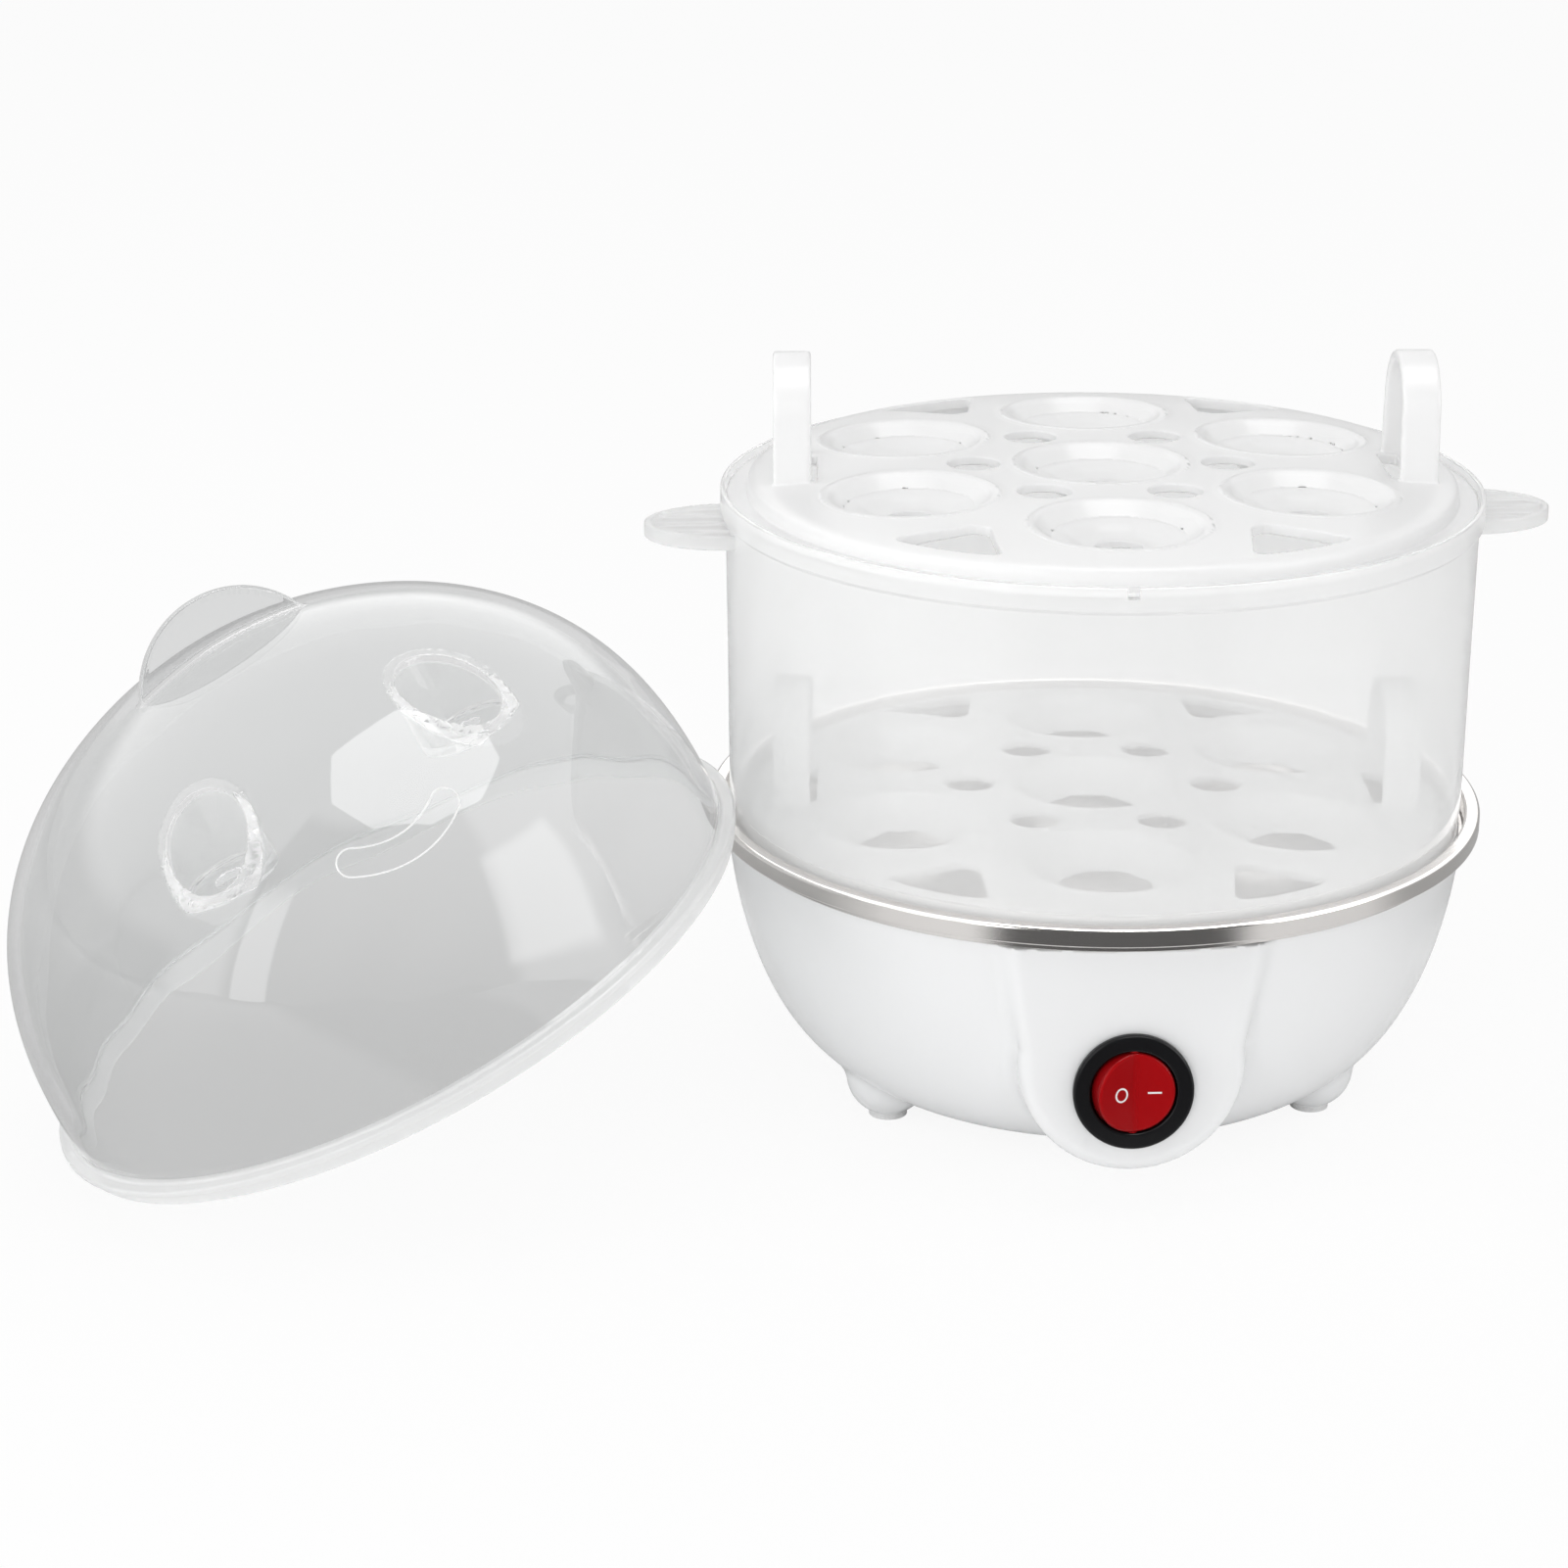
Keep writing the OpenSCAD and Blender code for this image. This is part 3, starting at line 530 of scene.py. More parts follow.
def steel(name, base, rough, turned=False, dark=0.0, grain=0.06):
    """Steel, brushed round the z axis if turned."""
    m, nt = new_mat(name)
    p = principled(nt, base, rough, 1.0)
    tc = add(nt, "ShaderNodeTexCoord").outputs["Object"]
    if turned:
        sep = add(nt, "ShaderNodeSeparateXYZ")
        link(nt, tc, sep.inputs[0])
        rad = math_node(nt, "SQRT", math_node(nt, "ADD", math_node(nt, "MULTIPLY", sep.outputs[0], sep.outputs[0]), math_node(nt, "MULTIPLY", sep.outputs[1], sep.outputs[1])))
        cmb = add(nt, "ShaderNodeCombineXYZ")
        link(nt, math_node(nt, "MULTIPLY", rad, 9000.0), cmb.inputs[0])
        link(nt, math_node(nt, "MULTIPLY", sep.outputs[2], 9000.0), cmb.inputs[1])
        link(nt, math_node(nt, "MULTIPLY", math_node(nt, "ARCTAN2", sep.outputs[1], sep.outputs[0]), 2.0), cmb.inputs[2])
        n = noise(nt, 1.0, 3.0, cmb.outputs[0])
        p.inputs["Anisotropic"].default_value = 0.6
        p.inputs["Anisotropic Rotation"].default_value = 0.25
        tg = add(nt, "ShaderNodeTangent", direction_type="RADIAL", axis="Z")
        link(nt, tg.outputs[0], p.inputs["Tangent"])
    else:
        n = noise(nt, 900.0, 3.0, tc)
    link(nt, remap(nt, n, rough * 0.75, rough * 1.35), p.inputs["Roughness"])
    tint(nt, p, base, 0.12, 30.0)
    link(nt, bump(nt, math_node(nt, "MULTIPLY", n, grain), 0.0002), p.inputs["Normal"])
    finish_mat(nt, p.outputs[0])
    return m


M = {}
M["bowl"] = plastic("bowl_white_gloss", (0.84, 0.845, 0.85), 0.2, wave=0.05, wave_scale=22.0, vary=0.015, coat=0.25)
M["tray"] = plastic("tray_white_pp", (0.98, 0.98, 0.98), 0.3, wave=0.03, wave_scale=30.0, vary=0.01, through=0.25)
M["steel_ring"] = steel("dish_steel_brushed", (0.80, 0.775, 0.755), 0.17, turned=True)
# each clear finish below carries a painted glow: a flat emission on deep reflections and, in the milky ones, on the
# milky wall
M["tier"] = clear_plastic("tier_clear", (0.985, 0.986, 0.986), 0.015, (0.95, 0.952, 0.952), haze=0.33, haze_col=(0.99, 0.99, 0.99), painted_deep_glow=1.0, painted_milk_glow=0.11)
M["tier_thick"] = clear_plastic("tier_clear_thick", (0.985, 0.986, 0.986), 0.06, (0.95, 0.952, 0.952), haze=0.52, haze_col=(0.97, 0.97, 0.97), painted_deep_glow=1.0, painted_milk_glow=0.04)
M["lid"] = clear_plastic("lid_smoke_clear", (0.885, 0.89, 0.89), 0.015, (0.80, 0.805, 0.805), painted_deep_glow=0.9)
M["lid_thick"] = clear_plastic("lid_smoke_clear_thick", (0.90, 0.905, 0.905), 0.05, (0.80, 0.805, 0.805), haze=0.46, haze_col=(0.95, 0.95, 0.95), painted_deep_glow=0.9, painted_milk_glow=0.18)
M["lid_well"] = clear_plastic("lid_smoke_clear_well", (0.90, 0.905, 0.905), 0.03, (0.80, 0.805, 0.805), haze=0.14, haze_col=(0.95, 0.95, 0.95), painted_deep_glow=0.9, painted_milk_glow=0.3)
M["lid_line"] = clear_plastic("lid_smoke_clear_line", (0.90, 0.905, 0.905), 0.05, (0.80, 0.805, 0.805), haze=0.75, haze_col=(0.93, 0.93, 0.93), painted_deep_glow=0.9, painted_milk_glow=0.3)
M["bezel"] = plastic("bezel_black_gloss", (0.008, 0.008, 0.009), 0.22, vary=0.1, gloss=0.18)
M["cover"] = plastic("cover_white_matt", (0.80, 0.805, 0.81), 0.5, grain=0.25)
M["rubber"] = plastic("pad_rubber_pale", (0.78, 0.78, 0.78), 0.7, grain=0.3)
M["bushing"] = plastic("bushing_white_rubber", (0.72, 0.72, 0.72), 0.6, grain=0.2)
M["zinc"] = steel("zinc_plated_steel", (0.62, 0.63, 0.65), 0.34)
M["element"] = steel("element_heat_darkened", (0.26, 0.24, 0.23), 0.42)
M["alu"] = steel("spreader_cast_aluminium", (0.74, 0.74, 0.75), 0.45)
M["ceramic"] = plastic("ceramic_ivory", (0.82, 0.78, 0.68), 0.4, grain=0.1)
M["phenolic"] = plastic("phenolic_brown", (0.06, 0.045, 0.038), 0.35)
M["sleeve"] = plastic("glass_fibre_sleeve", (0.82, 0.81, 0.77), 0.85, grain=0.6)
M["nylon"] = plastic("block_natural_nylon", (0.83, 0.81, 0.74), 0.38, sss=0.1)
M["brass"] = steel("terminal_brass", (0.78, 0.62, 0.33), 0.3)
M["lamp"] = plastic("lamp_glass_amber", (0.85, 0.42, 0.14), 0.12, coat=0.5)
M["mark"] = plastic("mark_white_ink", (0.80, 0.79, 0.79), 0.5, vary=0.02)
for nm, c in dict(brown=(0.16, 0.07, 0.03), blue=(0.03, 0.11, 0.5), black=(0.02, 0.02, 0.02), white=(0.8, 0.8, 0.78), green=(0.05, 0.33, 0.09)).items():
    M["wire_" + nm] = plastic("wire_" + nm, c, 0.36, vary=0.08)


def rocker_material():
    m, nt = new_mat("rocker_translucent_red")
    p = principled(nt, (0.42, 0.006, 0.008), 0.12, IOR=1.5)
    # painted shade and glow: the base colour is a brighter red where the face turns to the viewer and darker towards
    # its grazing edges
    lw = add(nt, "ShaderNodeLayerWeight")
    lw.inputs["Blend"].default_value = 0.45
    facing_shade_ramp = add(nt, "ShaderNodeValToRGB")
    facing_shade_ramp.color_ramp.elements[0].position = 0.0
    facing_shade_ramp.color_ramp.elements[0].color = (0.36, 0.004, 0.006, 1)
    facing_shade_ramp.color_ramp.elements[1].position = 0.75
    facing_shade_ramp.color_ramp.elements[1].color = (0.10, 0.001, 0.002, 1)
    link(nt, lw.outputs["Facing"], facing_shade_ramp.inputs[0])
    link(nt, facing_shade_ramp.outputs[0], p.inputs["Base Color"])
    p.inputs["Subsurface Weight"].default_value = 0.25
    p.inputs["Subsurface Radius"].default_value = (0.003, 0.0005, 0.0005)
    p.inputs["Specular IOR Level"].default_value = 0.08
    p.inputs["Coat Weight"].default_value = 0.06
    p.inputs["Coat Roughness"].default_value = 0.04
    finish_mat(nt, p.outputs[0])
    return m


M["rocker"] = rocker_material()


def dress(ob, mat):
    ob.data.materials.clear()
    ob.data.materials.append(M[mat])
    return ob


# --------------------------------------------------------------------------
# Trays: crowned plate, octagonal egg cups, steam holes, loop handles
# --------------------------------------------------------------------------
CROWN = [(0, 0), (26, 0), (36, -0.1), (45, -0.35), (53, -0.62), (60, -0.9), (66, -1.3), (68.2, -1.55), (69.4, -1.85), (70.2, -2.4), (70.6, -3.4)]
crown = spline(CROWN, 4)
under = [(68.9, -6.1), (68.7, -4.0), (66, -3.5), (60, -3.1), (45, -2.2), (26, -1.8), (-20, -1.8)]
plate_pts = [(-20, 0)] + crown + [(70.6, -4.6)]
plate_pts = [(p[0], p[1], 0) for p in plate_pts] + [(70.6, -5.2, 0.5), (74.6, -5.2, 0.35), (74.6, -6.1, 0.25), (68.9, -6.1, 0.25), (68.7, -4.0, 1.0)] + [(p[0], p[1], 0) for p in under[2:]]
plate = Outline([v for v in reversed(rounded([p for p in reversed(plate_pts)]))])
crown_cap = Outline([(-20, 0)] + crown + [(70.6, -12), (-20, -12)])
tri_pts = [(52.2, -1.0, 0.8), (52.2, 1.0, 0.8), (52.8, 2.2, 1), (64.2, 10.3, 0.8), (65.4, 10.6, 0.8), (66.3, 9.7, 0.8), (67.2, 5.0), (67.4, 0.0), (67.2, -5.0), (66.3, -9.7, 0.8), (65.4, -10.6, 0.8), (64.2, -10.3, 0.8), (52.8, -2.2, 1)]
tri = Outline(rounded([p for p in reversed(tri_pts)]), pad=6)
arch = [(12.9, -2.4)] + [(11.6 * math.cos(math.radians(a)), 11 + 11.5 * math.sin(math.radians(a))) for a in range(0, 181, 5)] + [(-12.9, -2.4)]
arch_in = [(-10.8, -2.4)] + [(9.6 * math.cos(math.radians(a)), 11 + 9.5 * math.sin(math.radians(a))) for a in range(180, -1, -5)] + [(10.8, -2.4)]
loop_pts = Outline(arch + arch_in)


def tray_field(open_cups):
    def cups(x, y, z):
        """Nearest cup's own coordinates."""
        ang = np.degrees(np.arctan2(y, x))
        k = np.round((ang - 30) / 60)
        az = np.radians(30 + 60 * k)
        c, s = np.cos(az), np.sin(az)
        mid = x * x + y * y < 22.4 ** 2
        px = np.where(mid, x, c * x + s * y - 44.7)
        py = np.where(mid, y, -s * x + c * y)
        pz = np.where(mid, z, z + 0.42)
        cb, sb = math.cos(math.radians(1.8)), math.sin(math.radians(1.8))
        qx = np.where(mid, px, cb * px - sb * pz)
        qz = np.where(mid, pz, sb * px + cb * pz)
        ux = np.where(mid, qx, c * qx - s * py)
        uy = np.where(mid, py, s * qx + c * py)
        return ux, uy, qz

    def f(x, y, z):
        r = np.sqrt(x * x + y * y)
        d = plate(r, z)
        ux, uy, uz = cups(x, y, z)
        ur = np.sqrt(ux * ux + uy * uy)
        # outside of the cups
        r1 = 10.4 if open_cups else 8.4
        slope = (16.7 - r1) / 6.1
        cs = 1 / math.sqrt(1 + slope * slope)
        cone = (ur - (r1 + (uz + 6.2) * slope)) * cs
        cup = inter_r(cone, -6.2 - uz, 0.35)
        if not open_cups:
            cup = union_r(cup, inter_r(ur - 6.1, -6.2 - uz, 0.3), 0.6)
        cup = np.maximum(cup, crown_cap(r, z))
        d = union_r(d, cup, 0.7)
        # loops
        ax = np.abs(x)
        band = inter_r(loop_pts(y, z), np.abs(ax - 61.5) - 3.75, 0.7)
        d = union_r(d, band, 0.5)
        # inside of the cups: eight flats that run out into a round mouth
        oc = None
        for a in (0, 45, 90, 135):
            v = np.abs(ux * math.cos(math.radians(a)) + uy * math.sin(math.radians(a)))
            if oc is None:
                oc = v
            else:
                h = np.maximum(0.9 - np.abs(oc - v), 0) / 0.9
                oc = np.maximum(oc, v) + h * h * 0.225
        a0, z0 = (8.3, -6.3) if open_cups else (7.0, -4.8)
        k = (14.7 - a0) / (-z0)
        flats = (oc - (a0 + (uz - z0) * k)) / math.sqrt(1 + k * k)
        cav = inter_r(flats, ur - 15.3, 0.5)
        if not open_cups:
            cav = inter_r(cav, -4.8 - uz, 0.9)
        mouth = (ur - 15.25 - (uz + 0.45) * 1.2) * 0.64
        cav = union_r(cav, np.maximum(mouth, np.abs(uz) - 2.5), 0.9)
        d = cut_r(d, cav, 0.35)
        if not open_cups:
            d = cut_r(d, ur - 4.6, 0.25)
        # steam holes, windows near the rim, slots beside the loops
        ang = np.degrees(np.arctan2(y, x))
        kk = np.radians(60 * np.round(ang / 60))
        hx, hy = np.cos(kk) * x + np.sin(kk) * y - 25.33, -np.sin(kk) * x + np.cos(kk) * y
        d = cut_r(d, np.sqrt(hx * hx + hy * hy) - 5.2, 0.35)
        tx, ty = turn(ax, np.abs(y), 60)
        d = cut_r(d, tri(tx, ty), 0.35)
        sl = inter_r(np.abs(ax - 58.6) - 2.0, np.abs(y) - 9.7, 0.8)
        d = cut_r(d, np.maximum(sl, z - 3), 0.3)
        return d

    return f


TRAY_LO, TRAY_HI = (-74.7, -74.7, -6.9), (74.7, 74.7, 22.6)
rot = lambda deg, z: Matrix.Translation((0, 0, z)) @ Matrix.Rotation(math.radians(deg), 4, "Z")
lower = field_mesh("lower_tray_v", tray_field(True), TRAY_LO, TRAY_HI, 0.52, rot(-3, 62.55))
upper = field_mesh("upper_tray_v", tray_field(False), TRAY_LO, TRAY_HI, 0.5, rot(-2, 129.7))
for o, n in ((lower, "lower_tray"), (upper, "upper_tray")):
    dress(o, "tray")
    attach(o, n)
    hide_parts(n)

# --------------------------------------------------------------------------
# Base bowl with switch boss, feet and cord stub
# --------------------------------------------------------------------------
def se(r, d, depth, p, q):
    return r * max(0.0, 1 - (d / depth) ** p) ** (1 / q)


def bowl_curve(inset, z0, n):
    zs = [z0 + (55.5 - z0) * (1 - math.cos(math.pi / 2 * i / n)) for i in range(n + 1)]
    return [(se(75.1 - inset, 56 - z, 54.6 - inset, 1.6, 5.5), z) for z in zs]


bowl_out = Outline([(-20, 2.2)] + bowl_curve(0, 2.2, 60) + [(-20, 55.5)])
bowl_in = Outline([(-20, 4.7)] + bowl_curve(2.3, 4.7, 40) + [(72.8, 60), (-20, 60)])
PANEL = Matrix.Translation((0, -74.8, 27)) @ Matrix.Rotation(math.radians(87), 4, "X")
PINV = np.array(PANEL.inverted())


def to_panel(x, y, z):
    return [PINV[i, 0] * x + PINV[i, 1] * y + PINV[i, 2] * z + PINV[i, 3] for i in range(3)]


def boss_outline(k):
    pts = [(24.6 - k, 36.4)] + [(24.6 - k, 30.4)]
    pts += [((21.6 - k) * math.cos(math.radians(a)), 4.4 + (21.6 - k) * math.sin(math.radians(a))) for a in range(8, -189, -4)]
    pts += [(-24.6 + k, 30.4), (-24.6 + k, 36.4)]
    return Outline(pts, pad=8)


boss_o, boss_i = boss_outline(0), boss_outline(2.9)


def bowl_field(x, y, z):
    r = np.sqrt(x * x + y * y)
    px, py, pz = to_panel(x, y, z)
    d = bowl_out(r, z)
    boss = inter_r(boss_o(px, py), np.maximum(pz, -34 - pz), 3.0)
    boss = np.maximum(boss, z - 55.5)
    d = union_r(d, boss, 3.2)
    d = np.maximum(d, z - 55.5)
    # cord stub and feet
    sr = np.sqrt(x * x + (z - 24) ** 2)
    d = union_r(d, inter_r(sr - 8.8, np.maximum(y - 71.6, 56 - y), 0.5), 1.2)
    for a in (-150, -30, 90):
        fx, fy = 50 * math.cos(math.radians(a)), 50 * math.sin(math.radians(a))
        s = np.sqrt((x - fx) ** 2 + (y - fy) ** 2 + (z - 8.8) ** 2) - 8.5
        d = union_r(d, s, 1.5)
    # hollow inside
    inner = bowl_in(r, z)
    hollow = np.maximum(np.maximum(boss_i(px, py), np.maximum(pz + 2.4, -36 - pz)), 5.2 - z)
    cav = np.minimum(inner, hollow)
    d = cut_r(d, cav, 0.4)
    d = np.maximum(d, 1.0 - z)
    # wall behind the stub, lugs, posts, collar
    ax = np.abs(x)
    add_in = np.maximum(sr - 8.8, np.maximum(58 - y, y - 70))
    add_in = np.minimum(add_in, box_d(ax, y, z, (62, 0, 34.65), (10, 9, 3), 0.5))
    add_in = np.minimum(add_in, np.maximum(np.sqrt((ax - 9) ** 2 + (y - 47) ** 2) - 3, np.maximum(3 - z, z - 12)))
    d = np.minimum(d, np.maximum(add_in, bowl_out(r, z) + 0.3))
    d = np.minimum(d, np.maximum(np.maximum(r - 37.5, 27 - r), np.maximum(3.6 - z, z - 5.8)))
    a3 = np.radians(120 * np.round((np.degrees(np.arctan2(y, x)) - 30) / 120) + 30)
    pxx, pyy = np.cos(a3) * x + np.sin(a3) * y - 31.2, -np.sin(a3) * x + np.cos(a3) * y
    pr = np.sqrt(pxx ** 2 + pyy ** 2)
    d = np.minimum(d, np.maximum(pr - 3.4, np.maximum(3.6 - z, z - 12)))
    # openings
    d = cut_r(d, np.maximum(np.sqrt(px ** 2 + py ** 2) - 10.1, -8 - pz), 0.3)
    d = cut_r(d, np.maximum(sr - 6, 50 - y), 0.3)
    d = cut_r(d, np.maximum(r - 27, z - 7), 0.3)
    d = cut_r(d, np.maximum(r - 35.3, z - 3.6), 0.4)
    d = cut_r(d, np.maximum(pr - 1.45, np.maximum(2 - z, z - 11)), 0.1)
    for a in (-150, -30, 90):
        fx, fy = 50 * math.cos(math.radians(a)), 50 * math.sin(math.radians(a))
        d = cut_r(d, np.maximum(np.sqrt((x - fx) ** 2 + (y - fy) ** 2) - 4.0, z - 1.6), 0.15)
    return d


bowl = field_mesh("housing_bowl_v", bowl_field, (-75.2, -75.6, 0.9), (75.2, 75.2, 55.6), 0.72)
dress(bowl, "bowl")
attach(bowl, "base")
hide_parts("housing_bowl")

# --------------------------------------------------------------------------
# Steel dish with its rolled bead
# --------------------------------------------------------------------------
F, TT = 46.0, 0.8
dish_in = [(0, F)] + [(60 + 8 * math.cos(math.radians(a)), F + 8 + 8 * math.sin(math.radians(a))) for a in range(-90, -14, 5)]
dish_out = [(60 + 7.8 * math.cos(math.radians(a)), F + 8 - TT + 7.8 * math.sin(math.radians(a))) for a in range(-15, -91, -5)] + [(0, F - TT)]
bead = [(75.55, 60.9, 0.75), (78.6, 60.9, 0.8)]
pts = [(p[0], p[1], 0) for p in dish_in] + [(71.2, 55.9, 0.8), (71.6, 56.4, 0.6), (75.5, 56.4, 0.4)] + bead
pts += [(78.6, 57.4, 0.45), (78.2, 57.2, 0.15), (77.6, 57.2, 0.2), (77.2, 57.4, 0.15), (77.0, 58.0, 0.2), (76.3, 58.0, 0.1), (76.3, 55.6, 0.2), (71.4, 55.6, 0.6), (70.6, 55.0, 0.6)]
pts += [(p[0], p[1], 0) for p in dish_out]
# the inside face is walked outwards here, so the outline is turned round to run counter-clockwise
outline = [(p[0], p[1], -p[2], -p[3]) for p in rounded(pts)]
dish = lathe("steel_dish_v", outline[::-1], 288)
dress(dish, "steel_ring")
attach(dish, "base")
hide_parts("steel_dish")

# --------------------------------------------------------------------------
# Clear steaming tier: wall and rim turned, grips added at its sides
# --------------------------------------------------------------------------
Z0, ZR = 57.4, 123.55
tier_pts = [(73.2, Z0, 0.2), (74.2, Z0, 0.25), (74.3, Z0 + 0.4, 0.2), (74.3, 61.9, 0.3), (74.65, 62.3, 0.3), (74.7, 90, 0), (74.9, ZR - 3.2, 0.5), (75.2, ZR - 2.7, 0.3), (75.9, ZR - 2.4, 0.35), (75.9, ZR + 2.2, 0.4), (74.9, ZR + 2.2, 0.3), (74.9, ZR, 0.35), (72.9, ZR, 0.4), (72.9, ZR - 3, 0.8), (73.1, ZR - 4, 0.8), (73.1, 90, 0)]
tier_o = rounded(tier_pts)
NA, NW = math.radians(-94), 1.05 / 75.4
seg = 288
angs = [2 * math.pi * i / seg - math.pi for i in range(seg)]
angs = [a for a in angs if abs(a - NA) > NW + 0.004] + [NA - NW - 2e-4, NA - NW, NA + NW, NA + NW + 2e-4]
angs.sort()


def notch(co, an):
    for i, a in enumerate(an):
        if abs(a - NA) <= NW + 1e-6:
            z = co[i, :, 2]
            r = np.hypot(co[i, :, 0], co[i, :, 1])
            m = (z > ZR + 0.02) & (r > 74.2)
            co[i, m, 2] = ZR + 0.02
    return co


tier = lathe("steam_tier_v", tier_o, 0, angs, notch, rot(2, 0))


def grip_field(x, y, z):
    ax = np.abs(x)
    # half ellipse outline, as a scaled circle
    def ell(rx, ry):
        u, v = (ax - 74) / rx, y / ry
        k0 = np.sqrt(u * u + v * v)
        k1 = np.sqrt((u / rx) ** 2 + (v / ry) ** 2)
        return k0 * (k0 - 1) / np.maximum(k1, 1e-6)

    out = ell(17.2, 13.0)
    ring = inter_r(np.maximum(out, -ell(15.7, 11.5)), np.abs(z - 118.15) - 1.45, 0.35)
    web = np.maximum(out + 0.5, np.abs(z - 118.1) - 0.6)
    d = union_r(ring, web, 0.4)
    yy = np.minimum(np.abs(y), np.minimum(np.abs(y - 6), np.abs(y + 6)))
    rib = np.maximum(inter_r(yy - 0.7, np.abs(z - 118.15) - 1.25, 0.25), out + 0.4)
    d = union_r(d, rib, 0.3)
    wall = 74.86 - np.sqrt(x * x + y * y)
    return np.maximum(d, wall)


grips = field_mesh("tier_grips_v", grip_field, (-91.3, -13.1, 116.6), (91.3, 13.1, 119.7), 0.36, rot(2, 0))
for o in (tier, grips):
    dress(o, "tier")
    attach(o, "steam_tier")
    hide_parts("steam_tier")
dress(grips, "tier_thick")

# --------------------------------------------------------------------------
# Clear domed lid
# --------------------------------------------------------------------------
def dome(inset, n):
    out = []
    for i in range(n + 1):
        s = (74.2 - inset) * math.sin(math.pi / 2 * i / n)
        out.append((se(73 - inset, s, 74.2 - inset, 2.57, 1.85), 4.0 + s))
    return out


lid_pts = [(71.0, 0.0, 0.3), (74.2, 0.0, 0.35), (74.2, 2.6, 0.3), (75.6, 2.6, 0.3), (75.6, 4.0, 0.45), (73.15, 4.0, 0.5)]
dome_o = dome(0, 90)
lid_solid = Outline([v[:2] for v in rounded([(-20, 0, 0)] + lid_pts[1:] + [(73.0, 5.0, 0)] + [(p[0], p[1], 0) for p in dome_o[6:-1]] + [(-20, 78.2, 0)])])
lid_hollow = Outline([(-20, -4), (71, -4)] + dome(2.0, 80) + [(-20, 76.2)])
lid_dome = Outline([(-20, -4), (73, -4)] + dome_o + [(-20, 78.2)])
mer = [(p[0], p[1]) for p in dome_o]


def lid_field(x, y, z):
    r = np.sqrt(x * x + y * y)
    d = lid_solid(r, z)
    bx, by = turn(x, y, 17.7)
    blade = inter_r(np.sqrt(bx ** 2 + (z - 68.16) ** 2) - 20.04, np.abs(by) - 1.1, 0.4)
    blade = np.maximum(blade, 60 - z)
    d = union_r(d, blade, 0.8)
    hol = lid_hollow(r, z)
    od = lid_dome(r, z)
    for a in (75, 138):
        wx, wy = turn(x, y, a)
        w = np.sqrt((wx - 50.3) ** 2 + wy ** 2)
        keep = np.maximum(np.maximum(w - 9.7, 50 - z), od)
        d = cut_r(d, hol, 0.25) if a == 75 else d
        d = union_r(d, keep, 0.5)
        d = cut_r(d, inter_r(w - 8.2, 51.6 - z, 0.6), 0.45)
        d = cut_r(d, np.maximum(w - 2.6, 45 - z), 0.2)
    return d


AT_LID = Matrix.Rotation(math.radians(188.5), 4, "Z") @ Matrix.Translation((75.4 + 75.6 * math.cos(math.radians(25)) - 2.6 * math.sin(math.radians(25)), 0, 74.2 * math.sin(math.radians(25)) + 0.01)) @ Matrix.Rotation(math.radians(25), 4, "Y")


def dome_polish(p, n):
    """Where the surface is the dome's own, its direction comes from the dome's curve."""
    r = np.maximum(np.hypot(p[:, 0], p[:, 1]), 1e-6)
    at = np.arctan2(p[:, 2] - 4.0, r)
    for curve, sign in ((dome(0, 90), 1), (dome(2.0, 80), -1)):
        c = np.array([v[:2] for v in curve], float)
        tr, tz = np.gradient(c[:, 0]), np.gradient(c[:, 1])
        ang, key = np.arctan2(-tr, tz), np.arctan2(c[:, 1] - 4.0, c[:, 0])
        order = np.argsort(key)
        a = np.interp(at, key[order], ang[order])
        own = sign * np.stack([np.cos(a) * p[:, 0] / r, np.cos(a) * p[:, 1] / r, np.sin(a)], -1)
        w = np.clip(((own * n).sum(1) - math.cos(math.radians(8))) / (math.cos(math.radians(5)) - math.cos(math.radians(8))), 0, 1)[:, None]
        wob = np.stack([np.sin(p @ k + o) for k, o in ((np.array((0.31, 0.17, 0.22)), 0.4), (np.array((-0.14, 0.33, 0.19)), 1.7), (np.array((0.2, -0.23, 0.27)), 3.1))], -1)
        n = n * (1 - w) + (own + 0.005 * wob) * w
        n /= np.linalg.norm(n, axis=1, keepdims=True)
    return n


lid = polar_mesh("lid_v", lid_field, 75.7, -0.1, 88.4, 0.45, 372, AT_LID, polish=dome_polish)


def bead_line(name, path, rad, matrix, sides=8):
    """A closed fine bead along a path of (point, outward direction)."""
    n = len(path)
    pp = np.array([v[0] for v in path], float)
    nn = np.array([v[1] for v in path], float)
    tt = np.roll(pp, -1, 0) - np.roll(pp, 1, 0)
    tt /= np.linalg.norm(tt, axis=1, keepdims=True)
    bb = np.cross(tt, nn)
    bb /= np.linalg.norm(bb, axis=1, keepdims=True)
    nn = np.cross(bb, tt)
    co, no, faces = [], [], []
    for i in range(n):
        for k in range(sides):
            w = 2 * math.pi * k / sides
            d = bb[i] * math.cos(w) + nn[i] * math.sin(w) * 0.7
            co.append(pp[i] + d * rad)
            no.append(d / np.linalg.norm(d))
    for i in range(n):
        for k in range(sides):
            a, b = i * sides + k, i * sides + (k + 1) % sides
            c, d = ((i + 1) % n) * sides + (k + 1) % sides, ((i + 1) % n) * sides + k
            faces.append([a, b, c, d])
    q = np.array(co)[np.array(faces)]
    if (np.cross(q[:, 1] - q[:, 0], q[:, 2] - q[:, 0]) * np.array(no)[np.array(faces)[:, 0]]).sum() < 0:
        faces = [f[::-1] for f in faces]
    return put_mesh(name, co, faces, no, matrix)


